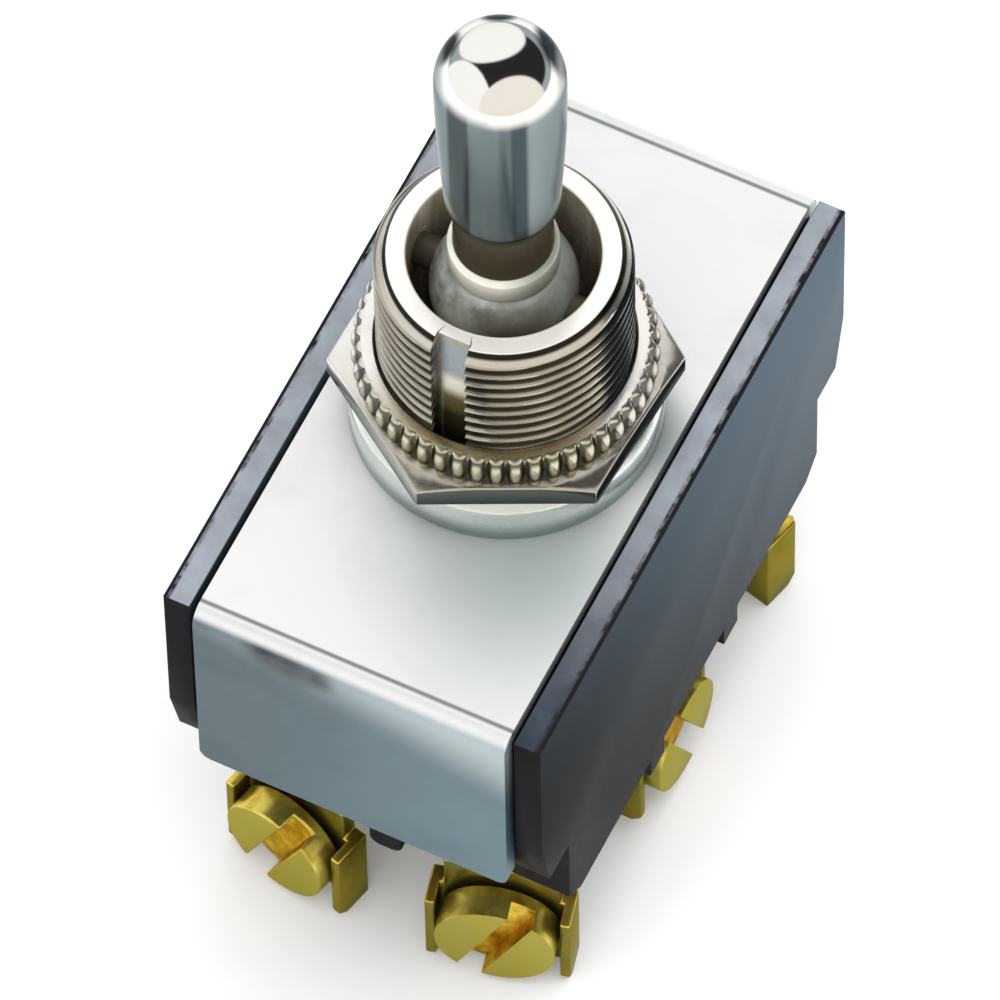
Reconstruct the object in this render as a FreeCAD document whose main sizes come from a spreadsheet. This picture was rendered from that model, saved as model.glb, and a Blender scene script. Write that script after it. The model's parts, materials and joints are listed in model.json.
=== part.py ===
import FreeCAD, Part
import Sketcher
import math
import os
import re

# Panel toggle switch, two poles, three positions, six screw terminals.
# Millimetres. +Z points up the bushing, -Y is the end with the keyway, and the switch stands on its
# terminals at Z = 0. Every piece is drawn with the top face of its metal frame at height 0 and is then
# lifted by plate_height.

UP = FreeCAD.Vector(0, 0, 1)

# Driving dimensions.
SIZES = {
    # Metal frame: one strip folded down over both ends of the case.
    "plate_width": 15.9,
    "plate_length": 32.9,
    "plate_thickness": 0.8,
    "fold_inside": 0.15,
    "leg_depth": 13.0,
    "leg_corner": 0.6,
    # Insulating sheet under the frame.
    "sheet_thickness": 0.4,
    "sheet_gap": 0.1,
    # Moulded case, open at the top and split into two chambers by a partition.
    "edge_gap": 0.3,
    "side_wall": 1.35,
    "side_length": 32.2,
    "end_fit": 0.05,
    "end_depth": 12.9,
    "end_slope_height": 3.5,
    "end_slope_length": 0.8,
    "deep_length": 26.7,
    "base_depth": 18.8,
    "base_corner_height": 1.0,
    "base_corner_length": 1.2,
    "chamber_length": 24.8,
    "chamber_wall": 1.7,
    "chamber_depth": 15.8,
    "well_length": 9.6,
    "partition": 1.6,
    "window_length": 15.6,
    "window_depth": 8.2,
    "middle_rib_width": 1.7,
    "middle_rib_drop": 1.8,
    "middle_rib_round": 0.6,
    "side_rib_place": 3.95,
    "side_rib_thickness": 1.5,
    "side_rib_drop": 1.4,
    # Threaded bushing.
    "thread_diameter": 11.9,
    "thread_engagement": 0.26,
    "seat_gap": 0.1,
    "bushing_height": 13.2,
    "rim_bevel": 0.6,
    "bore_radius": 4.41,
    "collar_radius": 7.35,
    "collar_height": 2.8,
    "collar_bevel": 0.5,
    "spigot_radius": 5.6,
    "stake_radius": 6.2,
    "stake_thickness": 0.7,
    "keyway_width": 1.7,
    "keyway_depth": 0.9,
    # Nuts.
    "hex_flats": 14.3,
    "hex_thickness": 1.45,
    "hex_bevel": 0.3,
    "hex_turn": 26.2,
    "thread_gap": 0.05,
    "knurl_radius": 7.1,
    "knurl_thickness": 1.7,
    "knurl_teeth": 48,
    "knurl_cut": 0.3,
    # Lever and its pivot.
    "pivot_height": 10.6,
    "lever_throw": 12.0,
    "ball_radius": 3.45,
    "running_fit": 0.05,
    "pin_radius": 0.8,
    "pin_length": 10.0,
    "pin_end_gap": 0.1,
    "shoulder_radius": 2.58,
    "shoulder_height": 14.5,
    "neck_radius": 2.33,
    "bat_foot_height": 18.1,
    "bat_foot_radius": 2.66,
    "bat_radius": 3.0,
    "bat_swell": 3.4,
    "bat_height": 30.8,
    "shank_radius": 1.5,
    "shank_depth": 6.3,
    # Actuator on the lever's lower end, with a sprung plunger for each pole.
    "pole_offset": 4.2,
    "actuator_bottom": 7.5,
    "actuator_height": 4.7,
    "actuator_clear": 0.6,
    "actuator_width": 5.4,
    "pocket_roof": 0.8,
    "plunger_radius": 1.5,
    "plunger_length": 3.3,
    "plunger_gap": 0.15,
    "spring_wire": 0.36,
    "spring_side_gap": 0.1,
    # Contact rocker, a bent strip with a valley that the plunger runs along.
    "fulcrum_depth": 12.2,
    "fulcrum_radius": 0.5,
    "gearing": 0.65,
    "rocker_thickness": 1.0,
    "rocker_width": 4.0,
    "rocker_reach": 8.8,
    "ramp_angle": 29.0,
    "ramp_lead": 0.3,
    "arm_slope": 8.0,
    "arm_place": 7.0,
    "contact_width": 3.0,
    "contact_length": 2.4,
    "contact_height": 0.8,
    "contact_gap": 0.08,
    # Terminals.
    "brass": 0.9,
    "bend_outside": 0.9,
    "stem_width": 5.6,
    "stem_clear": 0.4,
    "slot_gap": 0.05,
    "tab_inside": 1.9,
    "end_stem": 2.15,
    "centre_stem": 0.45,
    "centre_lift": 0.8,
    "fulcrum_length": 3.8,
    "step_out": 2.2,
    "step_drop": 1.7,
    "plate_drop": 7.5,
    "ear_inside": 3.0,
    "ear_thickness": 0.5,
    "ear_reach": 1.2,
    "ear_rise": 5.4,
    "ear_bevel": 0.5,
    "toe_out": 14.0,
    "screw_rise": 3.5,
    # Terminal screws.
    "screw_radius": 1.7,
    "screw_gap": 0.3,
    "screw_tail": 3.0,
    "head_radius": 2.9,
    "head_height": 1.6,
    "slot_width": 1.3,
    "slot_depth": 1.0,
}

# Places that follow from the driving dimensions.
PLACES = {
    "stem_depth": "base_depth + stem_clear",
    "plate_height": "stem_depth + step_drop + plate_drop",
    "side_inner": "plate_width / 2 + edge_gap",
    "side_outer": "side_inner + side_wall",
    "chamber_side": "side_outer - chamber_wall",
    "end_face": "plate_length / 2 - plate_thickness - end_fit",
    "case_top": "plate_thickness + sheet_thickness",
    "rib_bottom": "base_depth + side_rib_drop",
    "middle_rib_bottom": "base_depth + middle_rib_drop",
    "thread_radius": "thread_diameter / 2",
    "engaged_radius": "thread_radius - thread_engagement",
    "stake_depth": "plate_thickness + stake_thickness",
    "hex_bottom": "collar_height",
    "hex_top": "hex_bottom + hex_thickness",
    "knurl_top": "hex_top + knurl_thickness",
    "hex_corner": "hex_flats / sqrt(3)",
    "tip_centre": "bat_height - bat_radius",
    "pocket_radius": "plunger_radius + running_fit",
    "pocket_top": "actuator_bottom - actuator_height + pocket_roof",
    "rocker_throw": "lever_throw * gearing",
    "rocker_top": "fulcrum_depth - rocker_thickness",
    "nose_depth": "rocker_top - plunger_gap - plunger_radius",
    "plunger_top": "nose_depth - plunger_length",
    "spring_radius": "plunger_radius - spring_side_gap - spring_wire / 2",
    # The valley is the curve that keeps plunger_gap while lever and rocker turn together.
    "nose_swing": "pivot_height + nose_depth",
    "nose_lift": "fulcrum_depth - nose_depth",
    "valley_rise": "nose_swing * gearing + nose_swing / 2 - nose_lift * gearing ^ 2 / 2",
    "valley_run": "nose_swing - nose_lift * gearing",
    "valley_radius": "valley_run ^ 2 / (2 * valley_rise) + plunger_radius + plunger_gap",
    "valley_point": "rocker_top + valley_radius * (1 / cos(ramp_angle) - 1)",
    "ramp_end": "valley_radius * sin(ramp_angle) + ramp_lead",
    "arm_root": "valley_point - ramp_end * tan(ramp_angle)",
    "arm_tip": "arm_root - (rocker_reach - ramp_end) * tan(arm_slope)",
    "arm_drop": "rocker_thickness / cos(arm_slope)",
    "arm_share": "rocker_thickness / (1 + cos(ramp_angle - arm_slope))",
    "arm_seat": "arm_root - (arm_place - ramp_end) * tan(arm_slope)",
    "contact_face": "rocker_thickness + contact_height",
    # Where the face of a moving contact comes to rest when its pole is closed.
    "open_place": "arm_place + contact_face * sin(arm_slope)",
    "open_rise": "fulcrum_depth - arm_seat - contact_face * cos(arm_slope)",
    "strike_place": "open_place * cos(rocker_throw) + open_rise * sin(rocker_throw)",
    "strike_rise": "open_rise * cos(rocker_throw) - open_place * sin(rocker_throw)",
    "strike_depth": "fulcrum_depth - strike_rise + contact_gap",
    "tab_depth": "strike_depth + contact_height",
    "tab_under": "tab_depth + brass",
    "plate_back": "step_out - brass / 2",
    "plate_front": "step_out + brass / 2",
    "ear_outside": "ear_inside + ear_thickness",
}

doc = FreeCAD.newDocument("PanelToggleSwitch")


def spoken(text):
    """Write a named size as its cell, and a named place as what it follows from."""
    def written(match):
        word = match.group()
        if word in SIZES:
            return "Sizes." + word
        if word in PLACES:
            return "(" + spoken(PLACES[word]) + ")"
        return word
    return re.sub(r"[a-z_]+", written, text)


sizes = doc.addObject("Spreadsheet::Sheet", "Sizes")
for row, (alias, number) in enumerate(SIZES.items(), 1):
    sizes.set("A%d" % row, alias)
    sizes.set("B%d" % row, str(number))
    sizes.setAlias("B%d" % row, alias)
doc.recompute()


def new_body(label, across="0", along="0", height="plate_height", turn=None, axis=(0, 0, 1)):
    """Start a piece; across, along and height place it, and turn swings it about an axis."""
    body = doc.addObject("PartDesign::Body", label)
    body.Label = label
    if turn is not None:
        swing = FreeCAD.Rotation(FreeCAD.Vector(*axis), 1)
        body.Placement = FreeCAD.Placement(FreeCAD.Vector(), swing)
        body.setExpression("Placement.Rotation.Angle", spoken(turn))
    body.setExpression("Placement.Base.x", spoken(across))
    body.setExpression("Placement.Base.y", spoken(along))
    body.setExpression("Placement.Base.z", spoken(height))
    return body


def attach(feature, body, role, shift=("0", "0", "0"), turn=None, axis=(0, 0, 1)):
    """Lay a feature on one of its body's origin planes, shifted and turned in that plane's own axes."""
    plane = next(item for item in body.Origin.OriginFeatures if item.Role == role)
    feature.AttachmentSupport = [(plane, "")]
    feature.MapMode = "FlatFace"
    if turn is not None:
        swing = FreeCAD.Rotation(FreeCAD.Vector(*axis), 1)
        feature.AttachmentOffset = FreeCAD.Placement(FreeCAD.Vector(), swing)
        feature.setExpression("AttachmentOffset.Rotation.Angle", spoken(turn))
    for way, text in zip("xyz", shift):
        feature.setExpression("AttachmentOffset.Base." + way, spoken(text))


def outline(body, name, role, loops, shift=("0", "0", "0"), turn=None, axis=(0, 0, 1)):
    """Sketch closed outlines; each corner is a pair of expressions."""
    sketch = body.newObject("Sketcher::SketchObject", name)
    attach(sketch, body, role, shift, turn, axis)
    first = 0
    for corners in loops:
        count = len(corners)
        ring = [2 * math.pi * index / count for index in range(count)]
        start = [FreeCAD.Vector(math.cos(angle), math.sin(angle), 0) for angle in ring]
        for index in range(count):
            sketch.addGeometry(Part.LineSegment(start[index], start[(index + 1) % count]))
        for index in range(count):
            follower = first + (index + 1) % count
            sketch.addConstraint(Sketcher.Constraint("Coincident", first + index, 2, follower, 1))
        for index, corner in enumerate(corners):
            for kind, text, guess in zip(("DistanceX", "DistanceY"), corner, start[index]):
                rule = Sketcher.Constraint(kind, -1, 1, first + index, 1, guess)
                number = sketch.addConstraint(rule)
                sketch.setExpression("Constraints[%d]" % number, spoken(text))
        first += count
    return sketch


def box_loop(left, right, low, high):
    return [(left, low), (right, low), (right, high), (left, high)]


def centred(half_across, half_along):
    return box_loop("-(" + half_across + ")", half_across, "-(" + half_along + ")", half_along)


def mirrored(corners):
    """Close a symmetric outline from the corners of its right half."""
    return corners + [("-(" + across + ")", height) for across, height in reversed(corners)]


def rounds(body, name, role, circles, shift=("0", "0", "0"), turn=None, axis=(0, 0, 1)):
    """Sketch circles; each is its centre's two expressions and its radius."""
    sketch = body.newObject("Sketcher::SketchObject", name)
    attach(sketch, body, role, shift, turn, axis)
    for index, (across, along, radius) in enumerate(circles):
        sketch.addGeometry(Part.Circle(FreeCAD.Vector(), UP, 1.0))
        rules = (("DistanceX", (-1, 1, index, 3, 0.0), across),
                 ("DistanceY", (-1, 1, index, 3, 0.0), along),
                 ("Radius", (index, 1.0), radius))
        for kind, arguments, text in rules:
            number = sketch.addConstraint(Sketcher.Constraint(kind, *arguments))
            sketch.setExpression("Constraints[%d]" % number, spoken(text))
    return sketch


def extrude(body, kind, name, sketch, length, midplane=True, reverse=False):
    """Pad or pocket a sketch, to both sides of its plane unless midplane is off."""
    feature = body.newObject("PartDesign::" + kind, name)
    feature.Profile = sketch
    feature.Midplane = midplane
    feature.Reversed = reverse
    feature.setExpression("Length", spoken(length))
    sketch.Visibility = False
    return feature


def revolve(body, name, corners, role="XZ_Plane", axis="V_Axis", shift=("0", "0", "0")):
    """Turn an outline about one of its sketch's own axes, the upright one unless told."""
    sketch = outline(body, name + "_section", role, [corners], shift)
    feature = body.newObject("PartDesign::Revolution", name)
    feature.Profile = sketch
    feature.ReferenceAxis = (sketch, [axis])
    feature.Angle = 360.0
    sketch.Visibility = False
    return feature


def soften(body, kind, name, radius, chosen):
    """Fillet or chamfer the edges for which chosen(edge, box) holds; box bounds the whole piece."""
    doc.recompute()
    base = body.Tip
    box = base.Shape.BoundBox
    names = ["Edge%d" % number for number, edge in enumerate(base.Shape.Edges, 1)
             if not edge.Degenerated and chosen(edge, box)]
    if not names:
        raise RuntimeError("no edge found for " + body.Label + " " + name)
    feature = body.newObject("PartDesign::" + kind, name)
    feature.Base = (base, names)
    feature.setExpression("Radius" if kind == "Fillet" else "Size", spoken(radius))
    return feature


def near(first, second, slack=0.01):
    return abs(first - second) < slack


def runs_along(edge, axis):
    """True for a straight edge that follows the X, Y or Z axis."""
    if edge.Curve.TypeId != "Part::GeomLine":
        return False
    return abs(getattr(edge.tangentAt(edge.FirstParameter), axis)) > 0.999


def make_frame_strap():
    body = new_body("frame_strap")
    half = "plate_length / 2"
    inner = "plate_length / 2 - plate_thickness"
    section = mirrored([(inner, "-plate_thickness"), (inner, "-leg_depth"), (half, "-leg_depth"), (half, "0")])
    strip = outline(body, "strap_section", "YZ_Plane", [section])
    extrude(body, "Pad", "strap_strip", strip, "plate_width")
    hole = rounds(body, "strap_hole_circle", "XY_Plane", [("0", "0", "spigot_radius")])
    extrude(body, "Pocket", "strap_hole", hole, "4 * plate_thickness")

    def outer_fold(edge, box):
        middle = edge.CenterOfMass
        return runs_along(edge, "x") and near(middle.z, box.ZMax) and near(abs(middle.y), box.YMax)

    def inner_fold(edge, box):
        middle = edge.CenterOfMass
        inside = box.ZMax - 0.01 > middle.z > box.ZMin + 0.01
        return runs_along(edge, "x") and inside and abs(middle.y) > box.YMax * 0.9

    def leg_tip(edge, box):
        return runs_along(edge, "y") and near(edge.CenterOfMass.z, box.ZMin)

    soften(body, "Fillet", "outer_folds", "fold_inside + plate_thickness", outer_fold)
    soften(body, "Fillet", "inner_folds", "fold_inside", inner_fold)
    soften(body, "Fillet", "leg_tips", "leg_corner", leg_tip)
    return body


def make_insulator_sheet():
    body = new_body("insulator_sheet")
    loop = centred("plate_width / 2 - sheet_gap", "plate_length / 2 - plate_thickness - sheet_gap")
    sheet = outline(body, "sheet_outline", "XY_Plane", [loop], ("0", "0", "-case_top"))
    extrude(body, "Pad", "sheet_blank", sheet, "sheet_thickness", midplane=False)
    hole = rounds(body, "sheet_hole_circle", "XY_Plane", [("0", "0", "stake_radius + sheet_gap")])
    extrude(body, "Pocket", "sheet_hole", hole, "4 * case_top")
    return body


def stem_slot(side, end):
    """Slot for an end terminal's stem, which stands turned outward by toe_out."""
    half_width = "(stem_width / 2 + slot_gap)"
    half_brass = "(brass / 2 + slot_gap)"
    corners = []
    for wide, thick in ((-1, -1), (1, -1), (1, 1), (-1, 1)):
        outward = "(end_stem %s %s)" % ("+" if thick > 0 else "-", half_brass)
        across = "(pole_offset + %s * sin(toe_out) %s %s * cos(toe_out))" % (
            outward, "+" if wide > 0 else "-", half_width)
        along = "(strike_place + %s * cos(toe_out) %s %s * sin(toe_out))" % (
            outward, "-" if wide > 0 else "+", half_width)
        corners.append((side + across, end + along))
    return corners


def make_case_moulding():
    body = new_body("case_moulding")
    profile = mirrored([
        ("side_length / 2", "0"),
        ("side_length / 2", "-(end_depth - end_slope_height)"),
        ("side_length / 2 - end_slope_length", "-end_depth"),
        ("deep_length / 2", "-end_depth"),
        ("deep_length / 2", "-(base_depth - base_corner_height)"),
        ("deep_length / 2 - base_corner_length", "-base_depth"),
    ])
    block = outline(body, "case_side", "YZ_Plane", [profile])
    extrude(body, "Pad", "case_block", block, "2 * side_outer")

    end_loops = [box_loop("-side_inner", "side_inner", "end_face", "side_length"),
                 box_loop("-side_inner", "side_inner", "-side_length", "-end_face")]
    ends = outline(body, "leg_bays", "XY_Plane", end_loops)
    extrude(body, "Pocket", "leg_bay_cut", ends, "4 * end_depth")

    top = outline(body, "plate_bay", "XY_Plane", [centred("side_inner", "side_length")])
    extrude(body, "Pocket", "plate_bay_cut", top, "2 * case_top")

    for name, long, deep in (("chambers", "chamber_length", "tab_under"),
                             ("wells", "well_length", "chamber_depth")):
        loops = [box_loop("partition / 2", "chamber_side", "-" + long + " / 2", long + " / 2"),
                 box_loop("-chamber_side", "-partition / 2", "-" + long + " / 2", long + " / 2")]
        hollow = outline(body, name, "XY_Plane", loops)
        extrude(body, "Pocket", name + "_cut", hollow, "2 * " + deep)

    window = outline(body, "actuator_window", "XY_Plane", [centred("partition", "window_length / 2")])
    extrude(body, "Pocket", "window_cut", window, "2 * window_depth")

    keel = outline(body, "middle_rib_side", "YZ_Plane",
                   [box_loop("-deep_length / 2", "deep_length / 2", "-middle_rib_bottom",
                             "-(base_depth - base_corner_height)")])
    extrude(body, "Pad", "middle_rib", keel, "middle_rib_width")

    def keel_edge(edge, box):
        return runs_along(edge, "y") and near(edge.CenterOfMass.z, box.ZMin)

    soften(body, "Fillet", "middle_rib_edges", "middle_rib_round", keel_edge)

    near_side = "side_rib_place - side_rib_thickness / 2"
    far_side = "side_rib_place + side_rib_thickness / 2"
    rib_loops = [box_loop(near_side, far_side, "-rib_bottom", "-base_depth"),
                 box_loop("-(" + far_side + ")", "-(" + near_side + ")", "-rib_bottom", "-base_depth")]
    barriers = outline(body, "barrier_sides", "YZ_Plane", rib_loops)
    extrude(body, "Pad", "barriers", barriers, "2 * side_outer")

    half_stem = "stem_width / 2 + slot_gap"
    inside = "pole_offset + centre_stem - brass / 2 - slot_gap"
    outside = "pole_offset + centre_stem + brass / 2 + slot_gap"
    slots = [box_loop(inside, outside, "-(" + half_stem + ")", half_stem),
             box_loop("-(" + outside + ")", "-(" + inside + ")", "-(" + half_stem + ")", half_stem)]
    slots += [stem_slot(side, end) for side in ("", "-") for end in ("", "-")]
    stems = outline(body, "terminal_slots", "XY_Plane", slots)
    extrude(body, "Pocket", "terminal_slot_cut", stems, "4 * base_depth")
    return body


def make_threaded_bushing():
    # Where the nuts are, thread and nuts are drawn at the pitch diameter; above them, at the full one.
    body = new_body("threaded_bushing")
    revolve(body, "bushing_turning", [
        ("bore_radius", "-stake_depth"),
        ("stake_radius", "-stake_depth"),
        ("stake_radius", "-plate_thickness"),
        ("spigot_radius", "-plate_thickness"),
        ("spigot_radius", "0"),
        ("collar_radius", "0"),
        ("collar_radius", "collar_height - collar_bevel"),
        ("collar_radius - collar_bevel", "collar_height"),
        ("engaged_radius", "collar_height"),
        ("engaged_radius", "knurl_top + seat_gap"),
        ("thread_radius", "knurl_top + seat_gap"),
        ("thread_radius", "bushing_height - rim_bevel"),
        ("thread_radius - rim_bevel", "bushing_height"),
        ("bore_radius", "bushing_height"),
    ])
    slot = box_loop("-keyway_width / 2", "keyway_width / 2", "-thread_diameter",
                    "-(thread_radius - keyway_depth)")
    key = outline(body, "keyway_section", "XY_Plane", [slot], ("0", "0", "collar_height"))
    extrude(body, "Pocket", "keyway", key, "bushing_height", midplane=False, reverse=True)
    # The pivot pin rides at the blind top of two slots that are open below.
    top = rounds(body, "slot_top_circle", "YZ_Plane", [("0", "pivot_height", "pin_radius + running_fit")])
    extrude(body, "Pocket", "slot_top", top, "pin_length + 2 * pin_end_gap")
    run = box_loop("-(pin_radius + running_fit)", "pin_radius + running_fit", "-2 * stake_depth",
                   "pivot_height")
    track = outline(body, "slot_outline", "YZ_Plane", [run])
    extrude(body, "Pocket", "slot_run", track, "pin_length + 2 * pin_end_gap")
    return body


def make_pivot_pin():
    body = new_body("pivot_pin")
    rod = rounds(body, "pin_circle", "YZ_Plane", [("0", "pivot_height", "pin_radius")])
    extrude(body, "Pad", "pin_rod", rod, "pin_length")
    return body


def ball_corners(centre, radius, angles):
    """Corners of a turned ball's outline, at angles from its level outward direction."""
    return [("%s * cos(%d)" % (radius, angle), "%s + %s * sin(%d)" % (centre, radius, angle))
            for angle in angles]


def make_toggle_lever():
    body = new_body("toggle_lever")
    ball = ball_corners("pivot_height", "ball_radius", (-32, 6))
    tip = ball_corners("tip_centre", "bat_radius", (28, 56))
    profile = [("0", "-shank_depth"), ("shank_radius", "-shank_depth"),
               ("shank_radius", "pivot_height - sqrt(ball_radius ^ 2 - shank_radius ^ 2)")]
    profile += ball
    profile += [("shoulder_radius", "pivot_height + sqrt(ball_radius ^ 2 - shoulder_radius ^ 2)"),
                ("shoulder_radius", "shoulder_height - (shoulder_radius - neck_radius)"),
                ("neck_radius", "shoulder_height"),
                ("neck_radius", "bat_foot_height"),
                ("bat_foot_radius", "bat_foot_height"),
                ("bat_radius", "bat_foot_height + bat_swell"),
                ("bat_radius", "tip_centre")]
    revolve(body, "lever_turning", profile + tip + [("0", "bat_height")])
    hole = rounds(body, "ball_hole_circle", "YZ_Plane", [("0", "pivot_height", "pin_radius")])
    extrude(body, "Pocket", "ball_hole", hole, "4 * ball_radius")
    return body


def make_hex_nut():
    body = new_body("hex_nut", turn="hex_turn")
    corners = [("hex_corner * cos(%d)" % angle, "hex_corner * sin(%d)" % angle)
               for angle in range(0, 360, 60)]
    blank = outline(body, "hex_outline", "XY_Plane", [corners], ("0", "0", "hex_bottom"))
    extrude(body, "Pad", "hex_blank", blank, "hex_thickness", midplane=False)
    ring = outline(body, "hex_bevel_section", "XZ_Plane", [
        [("hex_flats / 2 + hex_bevel / 2", "hex_top"), ("hex_corner + hex_bevel", "hex_top"),
         ("hex_corner + hex_bevel", "hex_top - 1.5 * hex_bevel")]])
    groove = body.newObject("PartDesign::Groove", "hex_bevel_cut")
    groove.Profile = ring
    groove.ReferenceAxis = (ring, ["V_Axis"])
    groove.Angle = 360.0
    bore = rounds(body, "hex_bore_circle", "XY_Plane", [("0", "0", "engaged_radius + thread_gap")])
    extrude(body, "Pocket", "hex_bore", bore, "4 * hex_top")
    return body


def make_knurled_nut():
    body = new_body("knurled_nut")
    revolve(body, "knurled_turning", [
        ("engaged_radius + thread_gap", "hex_top"),
        ("knurl_radius", "hex_top"),
        ("knurl_radius", "knurl_top"),
        ("engaged_radius + thread_gap", "knurl_top"),
    ])
    half_groove = "knurl_radius * 3.1416 / knurl_teeth"
    notch = outline(body, "knurl_notch", "XY_Plane", [
        [("-(" + half_groove + ")", "-(knurl_radius + knurl_cut)"),
         (half_groove, "-(knurl_radius + knurl_cut)"),
         ("0", "-(knurl_radius - knurl_cut)")]], ("0", "0", "hex_top"))
    cut = extrude(body, "Pocket", "knurl_cut", notch, "knurl_thickness", midplane=False, reverse=True)
    doc.recompute()
    pattern = body.newObject("PartDesign::PolarPattern", "knurl")
    pattern.Originals = [cut]
    pattern.Axis = (notch, ["N_Axis"])
    pattern.Angle = 360.0
    pattern.setExpression("Occurrences", spoken("knurl_teeth"))
    body.Tip = pattern
    return body


def make_actuator():
    body = new_body("actuator")
    block = outline(body, "actuator_outline", "XY_Plane",
                    [centred("chamber_side - actuator_clear", "actuator_width / 2")],
                    ("0", "0", "-actuator_bottom"))
    extrude(body, "Pad", "actuator_block", block, "actuator_height", midplane=False)
    bores = rounds(body, "pocket_circles", "XY_Plane",
                   [("pole_offset", "0", "pocket_radius"), ("-pole_offset", "0", "pocket_radius")],
                   ("0", "0", "-actuator_bottom"))
    extrude(body, "Pocket", "pockets", bores, "actuator_height - pocket_roof", midplane=False,
            reverse=True)
    socket = rounds(body, "shank_socket_circle", "XY_Plane", [("0", "0", "shank_radius")],
                    ("0", "0", "-shank_depth"))
    extrude(body, "Pocket", "shank_socket", socket, "actuator_height", midplane=False, reverse=True)
    return body


def make_plunger(side, sign):
    body = new_body("plunger_" + side, sign + "pole_offset")
    nose = ball_corners("-nose_depth", "plunger_radius", (-45, 0))
    revolve(body, "plunger_turning", [("0", "-nose_depth - plunger_radius")] + nose
            + [("plunger_radius", "-plunger_top"), ("0", "-plunger_top")])
    return body


def make_plunger_spring(side, sign):
    # The closed coil's envelope, as wide as the wire.
    body = new_body("plunger_spring_" + side, sign + "pole_offset")
    section = box_loop("spring_radius - spring_wire / 2", "spring_radius + spring_wire / 2",
                       "-plunger_top", "-pocket_top")
    revolve(body, "spring_turning", section)
    return body


def make_contact_rocker(side, sign):
    body = new_body("contact_rocker_" + side, sign + "pole_offset")
    section = mirrored([
        ("rocker_reach", "-arm_tip"),
        ("rocker_reach", "-(arm_tip + arm_drop)"),
        ("ramp_end + arm_share * (sin(ramp_angle) + sin(arm_slope))",
         "-(arm_root + arm_share * (cos(ramp_angle) + cos(arm_slope)))"),
    ])
    under = ("0", "-(valley_point + rocker_thickness / cos(ramp_angle))")
    left = [section[3], section[4], section[5]]
    ramps = [("-ramp_end", "-arm_root"), ("0", "-valley_point"), ("ramp_end", "-arm_root")]
    strip = outline(body, "rocker_section", "YZ_Plane", [section[:3] + [under] + left + ramps])
    extrude(body, "Pad", "rocker_strip", strip, "rocker_width")

    def valley_edge(edge, box):
        return runs_along(edge, "x") and near(edge.CenterOfMass.y, 0)

    doc.recompute()
    middle = [edge.CenterOfMass.z for edge in body.Tip.Shape.Edges if valley_edge(edge, None)]
    soften(body, "Fillet", "valley", "valley_radius",
           lambda edge, box: valley_edge(edge, box) and edge.CenterOfMass.z > max(middle) - 0.01)
    soften(body, "Fillet", "valley_back", "valley_radius + rocker_thickness",
           lambda edge, box: valley_edge(edge, box) and edge.CenterOfMass.z < min(middle) + 0.01)
    groove = rounds(body, "fulcrum_groove_circle", "YZ_Plane",
                    [("0", "-fulcrum_depth", "fulcrum_radius + running_fit")])
    extrude(body, "Pocket", "fulcrum_groove", groove, "2 * rocker_width")
    return body


def contact_pad(body, height):
    """Silver pad, with its underside at a height."""
    pad = outline(body, "pad_outline", "XY_Plane", [centred("contact_width / 2", "contact_length / 2")],
                  ("0", "0", height))
    extrude(body, "Pad", "pad", pad, "contact_height", midplane=False)


def make_rocker_contact(side, sign, end, way):
    body = new_body("rocker_contact_%s_%s" % (side, end), sign + "pole_offset", way + "arm_place",
                    "plate_height - arm_seat", "arm_slope", (-1 if way else 1, 0, 0))
    contact_pad(body, "-contact_face")
    return body


def make_fixed_contact(side, sign, end, way):
    body = new_body("fixed_contact_%s_%s" % (side, end), sign + "pole_offset", way + "(strike_place)")
    contact_pad(body, "-tab_depth")
    return body


def flat_tab(body, inside, stem, depth):
    """Level tab and the stem folded down from it, facing -Y, made from one strip."""
    outer = "-(%s + brass / 2)" % stem
    inner = "-(%s - brass / 2)" % stem
    top = "-(%s)" % depth
    under = "-(%s + brass)" % depth
    section = [(inside, top), (outer, top), (outer, "-stem_depth"), (inner, "-stem_depth"),
               (inner, under), (inside, under)]
    strip = outline(body, "tab_section", "YZ_Plane", [section])
    extrude(body, "Pad", "tab_strip", strip, "stem_width")

    def tab_bend(edge, box):
        return (runs_along(edge, "x") and near(edge.CenterOfMass.z, box.ZMax)
                and near(edge.CenterOfMass.y, box.YMin))

    soften(body, "Fillet", "tab_bend", "bend_outside", tab_bend)


def screw_plate(body, stem, lift):
    """Stepped strip that carries a channel-shaped screw plate, hung from a stem that faces -Y."""
    bottom = "plate_height - " + lift
    back = "-(%s + plate_back)" % stem
    front = "-(%s + plate_front)" % stem
    reach = "-(%s + plate_front + ear_reach)" % stem
    step = [("-(%s - brass / 2)" % stem, "-stem_depth"), ("-(%s + brass / 2)" % stem, "-stem_depth"),
            (front, "-(stem_depth + step_drop)"), (front, "-(%s)" % bottom),
            (back, "-(%s)" % bottom), (back, "-(stem_depth + step_drop)")]
    strip = outline(body, "step_section", "YZ_Plane", [step])
    extrude(body, "Pad", "step_strip", strip, "stem_width")
    flank = [(back, "-(%s - ear_rise)" % bottom), (reach, "-(%s - ear_rise)" % bottom),
             (reach, "-(%s - ear_bevel)" % bottom), (reach + " + ear_bevel", "-(%s)" % bottom),
             (back, "-(%s)" % bottom)]
    channel = outline(body, "ear_flank", "YZ_Plane", [flank])
    extrude(body, "Pad", "ears", channel, "2 * ear_outside")
    between = outline(body, "between_ears", "YZ_Plane",
                      [box_loop("-2 * plate_length", front, "-2 * plate_height", "-stem_depth")])
    extrude(body, "Pocket", "ear_channel", between, "2 * ear_inside")
    hole = rounds(body, "tapped_hole_circle", "XZ_Plane",
                  [("0", "screw_rise - (%s)" % bottom, "screw_radius + running_fit")],
                  ("0", "0", "%s + step_out" % stem))
    extrude(body, "Pocket", "tapped_hole", hole, "2 * brass")


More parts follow.
